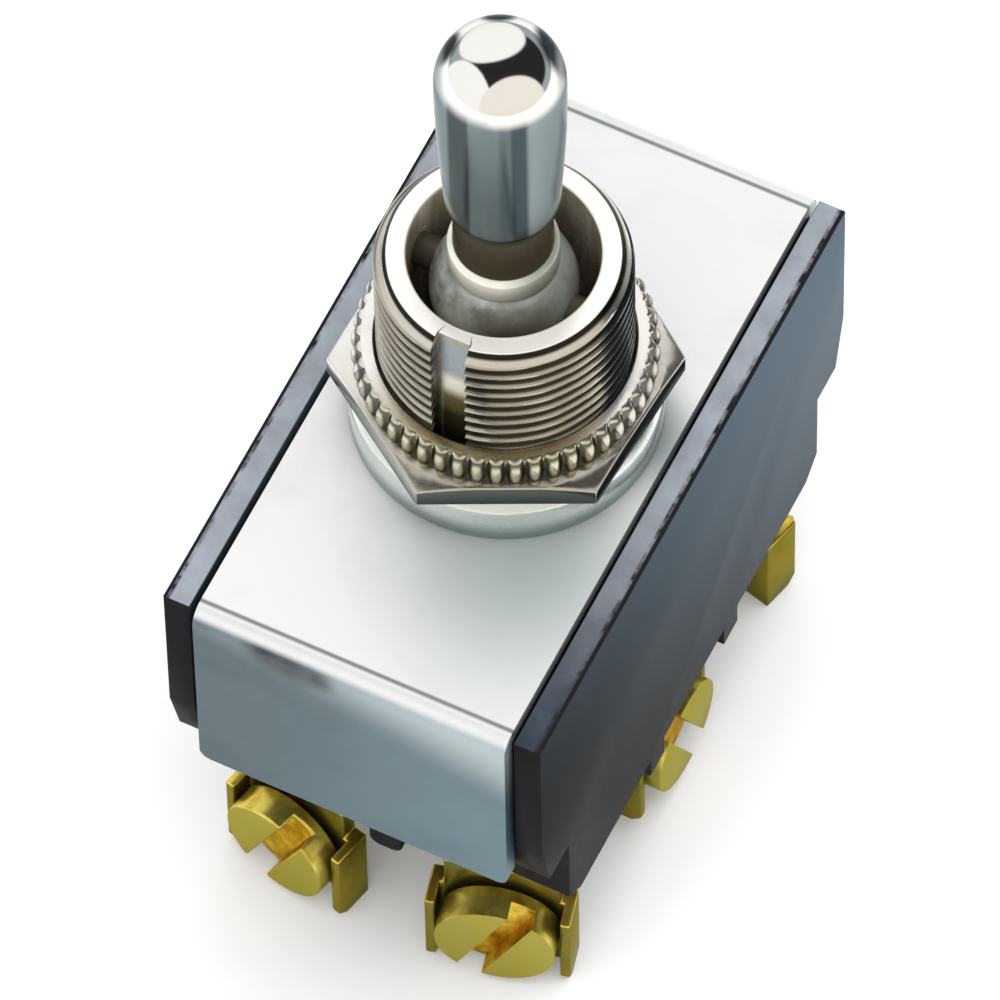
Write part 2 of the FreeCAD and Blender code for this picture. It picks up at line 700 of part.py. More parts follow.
# Each end terminal and its screw stand over the fixed contact, turned outward by toe_out.
END_TURNS = {("right", "front"): ("toe_out", 1), ("left", "front"): ("toe_out", -1),
             ("right", "rear"): ("180 - toe_out", 1), ("left", "rear"): ("180 - toe_out", -1)}


def make_end_terminal(side, sign, end, way):
    turn, lean = END_TURNS[side, end]
    body = new_body("end_terminal_%s_%s" % (side, end), sign + "pole_offset", way + "(strike_place)",
                    turn=turn, axis=(0, 0, lean))
    flat_tab(body, "tab_inside", "end_stem", "tab_depth")
    screw_plate(body, "end_stem", "0")
    return body


def make_centre_terminal(side, sign):
    body = new_body("centre_terminal_" + side, sign + "pole_offset", turn="90",
                    axis=(0, 0, -1 if sign else 1))
    flat_tab(body, "fulcrum_length / 2", "centre_stem", "chamber_depth - brass")
    blade = box_loop("-fulcrum_length / 2", "fulcrum_length / 2", "brass - chamber_depth", "-fulcrum_depth")
    upright = outline(body, "fulcrum_side", "YZ_Plane", [blade])
    extrude(body, "Pad", "fulcrum_blade", upright, "2 * fulcrum_radius")
    crest = rounds(body, "fulcrum_crest_circle", "XZ_Plane", [("0", "-fulcrum_depth", "fulcrum_radius")])
    extrude(body, "Pad", "fulcrum_crest", crest, "fulcrum_length")
    screw_plate(body, "centre_stem", "centre_lift")
    return body


def make_terminal_screw(name, place, turn, lean, stem, lift, slot_turn):
    """Slotted screw in a terminal's hole; its axis is level and its head faces -Y before the turn."""
    body = new_body("terminal_screw_" + name, *place, turn=turn, axis=(0, 0, lean))
    level = "screw_rise + %s - plate_height" % lift
    under = "(%s + plate_front + screw_gap)" % stem
    front = "(%s + head_height)" % under
    tail = "(screw_tail - %s - plate_back)" % stem
    revolve(body, "screw_turning", [
        ("-" + front, "0"), (tail, "0"), (tail, "screw_radius"), ("-" + under, "screw_radius"),
        ("-" + under, "head_radius"), ("-" + front, "head_radius")], "YZ_Plane", "H_Axis", ("0", level, "0"))
    slot = outline(body, "slot_outline", "XZ_Plane", [centred("slot_width / 2", "2 * head_radius")],
                   ("0", level, front), str(abs(slot_turn)), (0, 0, 1 if slot_turn > 0 else -1))
    extrude(body, "Pocket", "slot", slot, "2 * slot_depth")
    return body


def build():
    bodies = [make_frame_strap(), make_insulator_sheet(), make_case_moulding(), make_threaded_bushing(),
              make_pivot_pin(), make_toggle_lever(), make_hex_nut(), make_knurled_nut(), make_actuator()]
    slot_turns = {("right", "front"): -26, ("left", "front"): -24, ("right", "rear"): 62,
                  ("left", "rear"): 14, "right": 26, "left": -71}
    for side, sign in (("left", "-"), ("right", "")):
        bodies.append(make_plunger(side, sign))
        bodies.append(make_plunger_spring(side, sign))
        bodies.append(make_contact_rocker(side, sign))
        bodies.append(make_centre_terminal(side, sign))
        bodies.append(make_terminal_screw(side + "_centre", (sign + "pole_offset", "0"), "90",
                                          -1 if sign else 1, "centre_stem", "centre_lift",
                                          slot_turns[side]))
        for end, way in (("front", "-"), ("rear", "")):
            bodies.append(make_rocker_contact(side, sign, end, way))
            bodies.append(make_fixed_contact(side, sign, end, way))
            bodies.append(make_end_terminal(side, sign, end, way))
            turn, lean = END_TURNS[side, end]
            bodies.append(make_terminal_screw(side + "_" + end, (sign + "pole_offset", way + "(strike_place)"),
                                              turn, lean, "end_stem", "0", slot_turns[side, end]))
    return bodies


bodies = build()
doc.recompute()
for item in doc.Objects:
    if "Invalid" in item.State or "Error" in item.State:
        raise RuntimeError("failed: " + item.Name)
os.makedirs("parts", exist_ok=True)
for body in bodies:
    if body.Shape.isNull() or not body.Shape.isValid():
        raise RuntimeError("bad shape: " + body.Label)
for body in bodies:
    body.Shape.exportStep("parts/" + body.Label + ".step")
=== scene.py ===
import json
import math

import bmesh
import bpy
from mathutils import Matrix, Vector


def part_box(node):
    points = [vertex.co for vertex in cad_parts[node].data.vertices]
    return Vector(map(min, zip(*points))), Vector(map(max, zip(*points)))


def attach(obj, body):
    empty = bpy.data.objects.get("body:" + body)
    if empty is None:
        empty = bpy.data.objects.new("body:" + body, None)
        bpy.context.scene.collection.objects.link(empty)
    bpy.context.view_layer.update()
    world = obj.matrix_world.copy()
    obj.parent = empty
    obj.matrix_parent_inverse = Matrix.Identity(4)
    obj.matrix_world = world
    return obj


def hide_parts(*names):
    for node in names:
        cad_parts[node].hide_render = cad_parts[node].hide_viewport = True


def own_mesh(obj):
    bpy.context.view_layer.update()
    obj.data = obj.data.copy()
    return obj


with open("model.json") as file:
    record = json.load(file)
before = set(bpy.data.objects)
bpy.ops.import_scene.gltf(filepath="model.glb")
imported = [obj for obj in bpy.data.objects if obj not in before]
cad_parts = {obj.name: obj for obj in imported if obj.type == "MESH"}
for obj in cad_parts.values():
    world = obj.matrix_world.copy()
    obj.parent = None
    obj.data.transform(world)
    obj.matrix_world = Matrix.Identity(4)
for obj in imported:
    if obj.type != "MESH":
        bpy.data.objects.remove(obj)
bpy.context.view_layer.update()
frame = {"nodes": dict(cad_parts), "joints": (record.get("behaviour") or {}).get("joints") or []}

bl_info = {
    "name": "Panel toggle switch",
    "version": (1, 0, 0),
    "blender": (4, 5, 0),
    "location": "View3D > Sidebar > Switch",
    "description": "Dresses a two-pole bat-lever toggle switch with screw terminals",
    "category": "Object",
}

NODES = frame["nodes"]
MM = 0.001
SIDES = ("left", "right")
ENDS = ("front", "rear")

# Level direction across the studio camera's view. The streaks and shade painted on the metal lie along
# it. They stay where they are on a piece, from whichever side it is seen.
ACROSS = (0.889, 0.459, 0)

# Heights are measured from the top of the metal frame, which the solids give.
FRAME_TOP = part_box("frame_strap")[1].z
BUSHING_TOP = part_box("threaded_bushing")[1].z
THREAD_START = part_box("knurled_nut")[1].z


class SwitchSizes(bpy.types.PropertyGroup):
    thread_radius: bpy.props.FloatProperty(
        name="Thread radius", description="Outer radius of the bushing's thread",
        default=5.95 * MM, unit="LENGTH", precision=5)
    thread_pitch: bpy.props.FloatProperty(
        name="Thread pitch", description="Rise of the bushing's thread in one turn",
        default=0.794 * MM, unit="LENGTH", precision=6)
    thread_depth: bpy.props.FloatProperty(
        name="Thread depth", description="Depth of the bushing's thread",
        default=0.42 * MM, unit="LENGTH", precision=6)
    knurl_teeth: bpy.props.IntProperty(
        name="Knurl teeth", description="Number of teeth round the knurled nut", default=48, min=12)
    edge_rounding: bpy.props.FloatProperty(
        name="Edge rounding", description="Radius broken on the moulded and sheared edges",
        default=0.12 * MM, unit="LENGTH", precision=6)
    screw_pitch: bpy.props.FloatProperty(
        name="Screw pitch", description="Rise of a terminal screw's thread in one turn",
        default=0.794 * MM, unit="LENGTH", precision=6)


class SwitchFinish(bpy.types.PropertyGroup):
    zinc: bpy.props.FloatVectorProperty(
        name="Zinc plate", description="Colour of the metal frame's top", subtype="COLOR",
        size=4, default=(0.755, 0.755, 0.75, 1), min=0, max=1)
    # The folded leg's grey-blue is painted shade and reflection on the same zinc as the frame's top.
    leg: bpy.props.FloatVectorProperty(
        name="Folded leg", description="Colour of the frame's folded ends", subtype="COLOR",
        size=4, default=(0.048, 0.087, 0.102, 1), min=0, max=1)
    phenolic: bpy.props.FloatVectorProperty(
        name="Case", description="Colour of the moulded case", subtype="COLOR",
        size=4, default=(0.010, 0.010, 0.009, 1), min=0, max=1)
    nickel: bpy.props.FloatVectorProperty(
        name="Nickel", description="Colour of the plated nuts", subtype="COLOR",
        size=4, default=(0.72, 0.69, 0.62, 1), min=0, max=1)
    bushing: bpy.props.FloatVectorProperty(
        name="Bushing", description="Colour of the bushing's thread", subtype="COLOR",
        size=4, default=(0.46, 0.43, 0.36, 1), min=0, max=1)
    chrome: bpy.props.FloatVectorProperty(
        name="Chrome", description="Colour of the plated lever", subtype="COLOR",
        size=4, default=(0.25, 0.29, 0.30, 1), min=0, max=1)
    brass: bpy.props.FloatVectorProperty(
        name="Brass", description="Colour of the terminals and screws", subtype="COLOR",
        size=4, default=(0.36, 0.33, 0.075, 1), min=0, max=1)


class SwitchStudio(bpy.types.PropertyGroup):
    azimuth: bpy.props.FloatProperty(
        name="Azimuth", description="Turn of the camera round the switch from its near end",
        default=math.radians(27.3), subtype="ANGLE")
    elevation: bpy.props.FloatProperty(
        name="Elevation", description="Height of the camera above the level",
        default=math.radians(59.58), subtype="ANGLE")
    roll: bpy.props.FloatProperty(
        name="Roll", description="Lean of the camera", default=math.radians(-1.26), subtype="ANGLE")
    distance: bpy.props.FloatProperty(
        name="Distance", description="From the camera to the point it aims at",
        default=671.5 * MM, unit="LENGTH")
    lens: bpy.props.FloatProperty(
        name="Lens", description="Focal length on a 36 mm sensor", default=525.0, unit="CAMERA")


# Shared effects: each puts out masks or heights for the materials below.

def new_group(name, inputs, outputs):
    group = bpy.data.node_groups.new(name, "ShaderNodeTree")
    for label, kind, value in inputs:
        socket = group.interface.new_socket(name=label, in_out="INPUT", socket_type="NodeSocket" + kind)
        socket.default_value = value
    for label, kind in outputs:
        group.interface.new_socket(name=label, in_out="OUTPUT", socket_type="NodeSocket" + kind)
    return group, group.nodes.new("NodeGroupInput"), group.nodes.new("NodeGroupOutput")


def add_node(tree, kind, settings=None, **values):
    """Add a shader node, set its own settings, and give its sockets a value or a link each."""
    node = tree.nodes.new("ShaderNode" + kind)
    for key, value in (settings or {}).items():
        setattr(node, key, value)
    for key, value in values.items():
        name = key.replace("_", " ")
        socket = node.inputs[int(key[1:])] if key[0] == "i" and key[1:].isdigit() else node.inputs[name]
        if isinstance(value, bpy.types.NodeSocket):
            tree.links.new(value, socket)
        else:
            socket.default_value = value
    return node


def stain_group():
    """Soft patches: where the noise passes Start the mask rises, and it is full at End."""
    group, given, made = new_group(
        "Stain",
        [("Scale", "Float", 200.0), ("Start", "Float", 0.45), ("End", "Float", 0.65),
         ("Stretch", "Vector", (1, 1, 1))],
        [("Mask", "Float")])
    place = add_node(group, "TexCoord")
    stretched = add_node(group, "VectorMath", {"operation": "MULTIPLY"},
                         i0=place.outputs["Object"], i1=given.outputs["Stretch"])
    noise = add_node(group, "TexNoise", Vector=stretched.outputs[0], Scale=given.outputs["Scale"],
                     Detail=5.0, Roughness=0.6)
    mask = add_node(group, "MapRange", Value=noise.outputs["Fac"],
                    From_Min=given.outputs["Start"], From_Max=given.outputs["End"])
    group.links.new(mask.outputs[0], made.inputs["Mask"])
    return group


def grain_group():
    """Fine unevenness of a rolled, moulded or plated surface, as a height."""
    group, given, made = new_group(
        "Grain",
        [("Scale", "Float", 4000.0), ("Stretch", "Vector", (1, 1, 1))],
        [("Height", "Float")])
    place = add_node(group, "TexCoord")
    stretched = add_node(group, "VectorMath", {"operation": "MULTIPLY"},
                         i0=place.outputs["Object"], i1=given.outputs["Stretch"])
    noise = add_node(group, "TexNoise", Vector=stretched.outputs[0], Scale=given.outputs["Scale"],
                     Detail=3.0, Roughness=0.55)
    group.links.new(noise.outputs["Fac"], made.inputs["Height"])
    return group


def zone_group():
    """Mask that rises from 0 to 1 between two distances along a direction in the part's own frame."""
    group, given, made = new_group(
        "Zone",
        [("Direction", "Vector", (0, 0, 1)), ("From", "Float", 0.0), ("To", "Float", 0.001)],
        [("Mask", "Float")])
    place = add_node(group, "TexCoord")
    along = add_node(group, "VectorMath", {"operation": "DOT_PRODUCT"},
                     i0=place.outputs["Object"], i1=given.outputs["Direction"])
    mask = add_node(group, "MapRange", {"interpolation_type": "SMOOTHSTEP"}, Value=along.outputs["Value"],
                    From_Min=given.outputs["From"], From_Max=given.outputs["To"])
    group.links.new(mask.outputs[0], made.inputs["Mask"])
    return group


def facing_group():
    """Mask of the surfaces that face a direction in the part's own frame."""
    group, given, made = new_group(
        "Facing",
        [("Direction", "Vector", (0, 0, 1)), ("From", "Float", 0.5), ("To", "Float", 0.9)],
        [("Mask", "Float")])
    surface = add_node(group, "TexCoord")
    along = add_node(group, "VectorMath", {"operation": "DOT_PRODUCT"},
                     i0=surface.outputs["Normal"], i1=given.outputs["Direction"])
    mask = add_node(group, "MapRange", {"interpolation_type": "SMOOTHSTEP"}, Value=along.outputs["Value"],
                    From_Min=given.outputs["From"], From_Max=given.outputs["To"])
    group.links.new(mask.outputs[0], made.inputs["Mask"])
    return group


def round_group():
    """Mask that rises from 0 to 1 between two distances from the part's own upright axis."""
    group, given, made = new_group(
        "Round", [("From", "Float", 0.0), ("To", "Float", 0.001)], [("Mask", "Float")])
    place = add_node(group, "TexCoord")
    level = add_node(group, "VectorMath", {"operation": "MULTIPLY"},
                     i0=place.outputs["Object"], i1=(1, 1, 0))
    reach = add_node(group, "VectorMath", {"operation": "LENGTH"}, i0=level.outputs["Vector"])
    mask = add_node(group, "MapRange", {"interpolation_type": "SMOOTHSTEP"}, Value=reach.outputs["Value"],
                    From_Min=given.outputs["From"], From_Max=given.outputs["To"])
    group.links.new(mask.outputs[0], made.inputs["Mask"])
    return group


def spot_group():
    """Mask that is full at a point of the part's own frame and fades out at a distance from it."""
    group, given, made = new_group(
        "Spot", [("Centre", "Vector", (0, 0, 0)), ("Reach", "Float", 0.001)], [("Mask", "Float")])
    place = add_node(group, "TexCoord")
    away = add_node(group, "VectorMath", {"operation": "DISTANCE"},
                    i0=place.outputs["Object"], i1=given.outputs["Centre"])
    mask = add_node(group, "MapRange", {"interpolation_type": "SMOOTHSTEP"}, Value=away.outputs["Value"],
                    From_Min=0.0, From_Max=given.outputs["Reach"], To_Min=1.0, To_Max=0.0)
    group.links.new(mask.outputs[0], made.inputs["Mask"])
    return group


EFFECTS = {}


def effect(tree, name, **values):
    """Place a shared effect in a material and return its one output."""
    builders = {"Stain": stain_group, "Grain": grain_group, "Zone": zone_group, "Facing": facing_group,
                "Round": round_group, "Spot": spot_group}
    if name not in EFFECTS:
        EFFECTS[name] = builders[name]()
    node = tree.nodes.new("ShaderNodeGroup")
    node.node_tree = EFFECTS[name]
    for key, value in values.items():
        node.inputs[key].default_value = value
    return node.outputs[0]


def math_node(tree, operation, first, second):
    settings = {"operation": operation, "use_clamp": True}
    return add_node(tree, "Math", settings, i0=first, i1=second).outputs[0]


def both(tree, first, second):
    return math_node(tree, "MULTIPLY", first, second)


def rise(tree, base, start, end):
    """Mask that goes from 0 to 1 between two heights, in millimetres over the base."""
    return effect(tree, "Zone", Direction=(0, 0, 1), From=base + start * MM, To=base + end * MM)


def across(tree, start, end, way=1):
    """Mask that goes from 0 to 1 between two distances, in millimetres along ACROSS or against it."""
    return effect(tree, "Zone", Direction=[way * part for part in ACROSS], From=start * MM, To=end * MM)


def tint(tree, mask, below, above):
    """Colour that goes from below to above with the mask."""
    node = tree.nodes.new("ShaderNodeMix")
    node.data_type = "RGBA"
    tree.links.new(mask, node.inputs["Factor"])
    for socket, value in ((node.inputs[6], below), (node.inputs[7], above)):
        if isinstance(value, bpy.types.NodeSocket):
            tree.links.new(value, socket)
        else:
            socket.default_value = tuple(value)[:3] + (1.0,)
    return node.outputs[2]


def flip(tree, mask):
    return math_node(tree, "SUBTRACT", 1.0, mask)


def spread(tree, mask, low, high):
    """Number that goes from low to high with the mask."""
    return add_node(tree, "MapRange", Value=mask, To_Min=low, To_Max=high).outputs[0]


def new_material(name, metallic, roughness):
    """Empty material with its surface shader; the caller links what varies."""
    material = bpy.data.materials.new(name)
    material.use_nodes = True
    tree = material.node_tree
    shader = tree.nodes["Principled BSDF"]
    shader.inputs["Metallic"].default_value = metallic
    shader.inputs["Roughness"].default_value = roughness
    return material, tree, shader


def add_grain(tree, shader, scale, strength, distance, stretch=(1, 1, 1)):
    height = effect(tree, "Grain", Scale=scale, Stretch=stretch)
    bump = add_node(tree, "Bump", Strength=strength, Distance=distance, Height=height)
    tree.links.new(bump.outputs["Normal"], shader.inputs["Normal"])


def zinc_material(finish):
    """Pale on top, with painted shade around the bushing, a painted dark line where each fold starts, a
    painted highlight along the fold and a grey-blue leg in painted shade and reflection.
    """
    material, tree, shader = new_material("Zinc plated strip", 0.35, 0.42)
    patch = effect(tree, "Stain", Scale=200.0, Start=0.48, End=0.74)
    top = tint(tree, patch, finish.zinc, (0.70, 0.72, 0.715))
    # Painted shade: a dark line where each fold starts.
    for way in (-1, 1):
        start = effect(tree, "Zone", Direction=(0, way, 0), From=15.36 * MM, To=15.50 * MM)
        end = effect(tree, "Zone", Direction=(0, way, 0), From=15.56 * MM, To=15.72 * MM)
        line = math_node(tree, "SUBTRACT", start, end)
        top = tint(tree, line, top, (0.20, 0.22, 0.215))
    # Painted shade on the top around the bushing, and a painted shadow to its right.
    for x, y, reach, tone in ((4.5, -7.5, 9.0, (0.38, 0.45, 0.45)), (6.8, 1.0, 3.8, (0.22, 0.28, 0.28))):
        shade = effect(tree, "Spot", Centre=(x * MM, y * MM, FRAME_TOP), Reach=reach * MM)
        top = tint(tree, spread(tree, shade, 0.0, 0.85), top, tone)
    scum = effect(tree, "Stain", Scale=330.0, Start=0.44, End=0.72)
    # The grey-blue is painted shade and reflection on the same zinc as the top, lighter towards +x and
    # downwards.
    fade = effect(tree, "Zone", Direction=(1, 0, -0.2), From=-12 * MM, To=3 * MM)
    leg = tint(tree, fade, finish.leg, [channel * 1.9 for channel in finish.leg[:3]])
    leg = tint(tree, spread(tree, scum, 0.0, 0.4), leg, (0.08, 0.105, 0.13))
    # Painted highlight: a pale band at the top of the leg, along the fold.
    fold_highlight = effect(tree, "Zone", Direction=(0.25, 0, 1), From=FRAME_TOP - 4 * MM, To=FRAME_TOP + 1.2 * MM)
    leg = tint(tree, fold_highlight, leg, (0.42, 0.48, 0.49))
    # Three dark spots near the top of the near leg.
    for x, drop, reach in ((-4.3, 0.8, 1.7), (-2.9, 1.1, 1.9), (-1.6, 1.2, 1.3)):
        dark_spot = effect(tree, "Spot", Centre=(x * MM, -16.4 * MM, FRAME_TOP - drop * MM), Reach=reach * MM)
        leg = tint(tree, spread(tree, dark_spot, 0.0, 0.95), leg, (0.015, 0.022, 0.025))
    # Below the fold the painted leg shade takes over from the pale top.
    down = effect(tree, "Zone", Direction=(0, 0, -1), From=-(FRAME_TOP - 0.25 * MM),
                  To=-(FRAME_TOP - 0.60 * MM))
    tree.links.new(tint(tree, down, top, leg), shader.inputs["Base Color"])
    tree.links.new(spread(tree, patch, 0.36, 0.50), shader.inputs["Roughness"])
    add_grain(tree, shader, 3000.0, 0.08, 0.00003, (1.0, 0.12, 1.0))
    return material


def case_material(finish):
    """Near black, with a painted pale sheen on the wall tops, mottled by wear, and a painted slate sheen
    towards the far top of the side.
    """
    material, tree, shader = new_material("Moulded black case", 0.0, 0.36)
    shader.inputs["IOR"].default_value = 1.5
    # Painted sheen: slate towards the far top of the right side.
    climb = effect(tree, "Zone", Direction=(0, 0.72, 0.69), From=2 * MM, To=29 * MM)
    flow = effect(tree, "Stain", Scale=150.0, Start=0.40, End=0.75, Stretch=(1.0, 1.0, 0.5))
    body = tint(tree, flow, finish.phenolic, (0.020, 0.021, 0.024))
    side = effect(tree, "Facing", Direction=(1, 0, 0), From=0.7, To=0.95)
    film_and_sheen = both(tree, side, climb)
    body = tint(tree, film_and_sheen, body, (0.105, 0.150, 0.190))
    # Painted sheen on the wall tops, paler towards the far end and on the left wall, mottled by wear.
    up = effect(tree, "Facing", Direction=(0, 0, 1), From=0.6, To=0.9)
    level = rise(tree, FRAME_TOP, -0.5, -0.2)
    along = effect(tree, "Zone", Direction=(0.0, 1, 0), From=-16 * MM, To=2 * MM)
    left = effect(tree, "Zone", Direction=(-1, 0, 0), From=-1 * MM, To=1 * MM)
    pale = math_node(tree, "MAXIMUM", along, left)
    worn = effect(tree, "Stain", Scale=520.0, Start=0.30, End=0.66)
    sheen_and_wear = tint(tree, pale, (0.050, 0.062, 0.085), (0.33, 0.36, 0.41))
    dull = tint(tree, pale, (0.030, 0.036, 0.048), (0.25, 0.27, 0.30))
    sheen_and_wear = tint(tree, worn, dull, sheen_and_wear)
    chip = effect(tree, "Stain", Scale=900.0, Start=0.40, End=0.62)
    for way, start in ((-1, 9.34), (1, 9.30)):
        edge = effect(tree, "Zone", Direction=(way, 0, 0), From=(start + 0.05) * MM,
                      To=(start + 0.11) * MM)
        chipped = effect(tree, "Zone", Direction=(way, 0, 0), From=(start - 0.12) * MM, To=start * MM)
        edge = math_node(tree, "MAXIMUM", edge, both(tree, chipped, chip))
        sheen_and_wear = tint(tree, edge, sheen_and_wear, (0.016, 0.015, 0.017))
        # Painted shade: black on the up-facing faces inward of each wall's inner edge, beside the frame.
        inner = effect(tree, "Zone", Direction=(way, 0, 0), From=8.32 * MM, To=8.22 * MM)
        outer = effect(tree, "Zone", Direction=(way, 0, 0), From=0, To=0.5 * MM)
        sheen_and_wear = tint(tree, both(tree, inner, outer), sheen_and_wear, (0.008, 0.008, 0.008))
    top = both(tree, up, level)
    tree.links.new(tint(tree, top, body, sheen_and_wear), shader.inputs["Base Color"])
    shader.inputs["Specular IOR Level"].default_value = 0.01
    tree.links.new(spread(tree, flow, 0.34, 0.46), shader.inputs["Roughness"])
    add_grain(tree, shader, 2600.0, 0.14, 0.00004)
    return material


def nickel_shader(name):
    """Plated metal whose gloss varies in soft patches; the caller gives it its colours."""
    material, tree, shader = new_material(name, 0.92, 0.24)
    patch = effect(tree, "Stain", Scale=330.0, Start=0.42, End=0.68)
    tree.links.new(spread(tree, patch, 0.18, 0.36), shader.inputs["Roughness"])
    add_grain(tree, shader, 3600.0, 0.10, 0.00003, (1.0, 1.0, 4.0))
    return material, tree, shader, patch


def bushing_material(finish):
    """Painted highlight on the white lip with painted shade in a black line under it, painted shade in
    the grooves and on the right flank, an olive bore and a pale collar in painted reflection.
    """
    material, tree, shader, _ = nickel_shader("Nickel plated bushing")
    film_and_sheen = effect(tree, "Stain", Scale=240.0, Start=0.4, End=0.7)
    colour = tint(tree, film_and_sheen, finish.bushing, (0.36, 0.33, 0.27))
    thread = rise(tree, BUSHING_TOP, -0.5, -0.6)
    above = rise(tree, FRAME_TOP, 2.75, 2.85)
    # Painted shade in the thread's grooves.
    groove = effect(tree, "Round", From=5.90 * MM, To=5.78 * MM)
    outside = effect(tree, "Round", From=5.12 * MM, To=5.20 * MM)
    cut = both(tree, both(tree, groove, thread),
                    both(tree, above, outside))
    colour = tint(tree, cut, colour, (0.042, 0.036, 0.022))
    # Painted shade on the right flank of the thread.
    flank = across(tree, 4.1, 4.7)
    shade = both(tree, flank, both(tree, thread, above))
    colour = tint(tree, spread(tree, shade, 0.0, 0.9), colour, (0.075, 0.085, 0.088))
    # Painted highlight on the lower part of the mouth's chamfer, painted shade in a black line above it,
    # and a painted highlight on the crown.
    ridge = rise(tree, BUSHING_TOP, -0.58, -0.45)
    colour = tint(tree, both(tree, ridge, outside), colour, (0.66, 0.62, 0.54))
    crown = rise(tree, BUSHING_TOP, -0.06, -0.01)
    lip = rise(tree, BUSHING_TOP, -0.32, -0.20)
    colour = tint(tree, both(tree, lip, outside), colour, (0.022, 0.020, 0.016))
    colour = tint(tree, crown, colour, (0.97, 0.94, 0.88))
    # Painted reflection: pale green-grey below the collar's top.
    colour = tint(tree, above, (0.72, 0.76, 0.72), colour)
    # Painted shade towards the collar's foot.
    base = rise(tree, FRAME_TOP, 1.5, 0.3)
    colour = tint(tree, base, colour, (0.30, 0.36, 0.33))
    bore = effect(tree, "Round", From=4.47 * MM, To=4.43 * MM)
    streak = effect(tree, "Stain", Scale=300.0, Start=0.45, End=0.62, Stretch=(1.0, 1.0, 0.15))
    colour = tint(tree, bore, colour, tint(tree, streak, (0.30, 0.255, 0.175), (0.60, 0.53, 0.43)))
    slot = effect(tree, "Round", From=5.12 * MM, To=5.08 * MM)
    slot = math_node(tree, "SUBTRACT", slot, math_node(tree, "MAXIMUM", bore, crown))
    # Painted reflection and shade down the keyway: grey-blue, a cream highlight, olive, and near black at
    # the bottom.
    for start, end, tone in ((0.5, 0.8, (0.36, 0.41, 0.43)), (3.0, 3.9, (0.95, 0.91, 0.76)),
                             (4.3, 5.4, (0.16, 0.13, 0.05)), (5.9, 7.0, (0.045, 0.034, 0.012))):
        below = effect(tree, "Zone", Direction=(0, 0, -1), From=-(BUSHING_TOP - start * MM),
                       To=-(BUSHING_TOP - end * MM))
        colour = tint(tree, both(tree, below, slot), colour, tone)
    tree.links.new(colour, shader.inputs["Base Color"])
    matt = math_node(tree, "MAXIMUM", math_node(tree, "MAXIMUM", bore, crown), slot)
    tree.links.new(spread(tree, matt, 0.92, 0.35), shader.inputs["Metallic"])
    return material


def nuts_material(finish):
    """Painted reflection on the olive ring and teeth towards the near side, painted shade in the gaps
    between the teeth, and hexagon sides painted dark and pale as they face.
    """
    material, tree, shader, patch = nickel_shader("Nickel plated nuts")
    colour = tint(tree, patch, finish.nickel, [channel * 0.8 for channel in finish.nickel[:3]])
    # Painted highlight: paler towards the far side.
    away = effect(tree, "Zone", Direction=(-0.7, 0.7, 0), From=-2 * MM, To=5 * MM)
    colour = tint(tree, away, colour, (0.93, 0.91, 0.87))
    # Painted highlight on the knurled nut's flat top; painted reflection and shade towards the near side:
    # an olive ring and teeth, and a darker hexagon.
    near_side = effect(tree, "Zone", Direction=(0.30, -0.95, 0), From=2.2 * MM, To=6.0 * MM)
    knurl = rise(tree, THREAD_START, -1.72, -1.66)
    flat = effect(tree, "Round", From=6.66 * MM, To=6.58 * MM)
    colour = tint(tree, both(tree, knurl, flat), colour, (0.95, 0.92, 0.87))
    olive = both(tree, near_side, both(tree, knurl, flat))
    colour = tint(tree, olive, colour, (0.42, 0.35, 0.20))
    top = both(tree, near_side, flip(tree, knurl))
    colour = tint(tree, top, colour, (0.50, 0.47, 0.40))
    teeth = both(tree, near_side, both(tree, knurl, flip(tree, flat)))
    colour = tint(tree, spread(tree, teeth, 0.0, 0.7), colour, (0.56, 0.52, 0.34))
    # Painted shade in the gaps between the teeth.
    gap = effect(tree, "Round", From=7.0 * MM, To=6.86 * MM)
    side = rise(tree, THREAD_START, -0.12, -0.2)
    gap_shade = both(tree, both(tree, gap, side),
                     both(tree, knurl, flip(tree, flat)))
    colour = tint(tree, spread(tree, gap_shade, 0.0, 0.85), colour, (0.05, 0.046, 0.032))
    # Painted light and shade on the hexagon's sides, by the way each faces.
    for direction, tone in (((0.458, -0.889, 0), (0.14, 0.15, 0.14)),
                            ((0.999, -0.047, 0), (0.035, 0.035, 0.035)),
                            ((-0.54, -0.842, 0), (0.62, 0.65, 0.61))):
        face = effect(tree, "Facing", Direction=direction, From=0.9, To=0.96)
        colour = tint(tree, both(tree, face, flip(tree, knurl)), colour, tone)
    tree.links.new(colour, shader.inputs["Base Color"])
    shader.inputs["Specular Tint"].default_value = (0.35, 0.35, 0.34, 1)
    return material


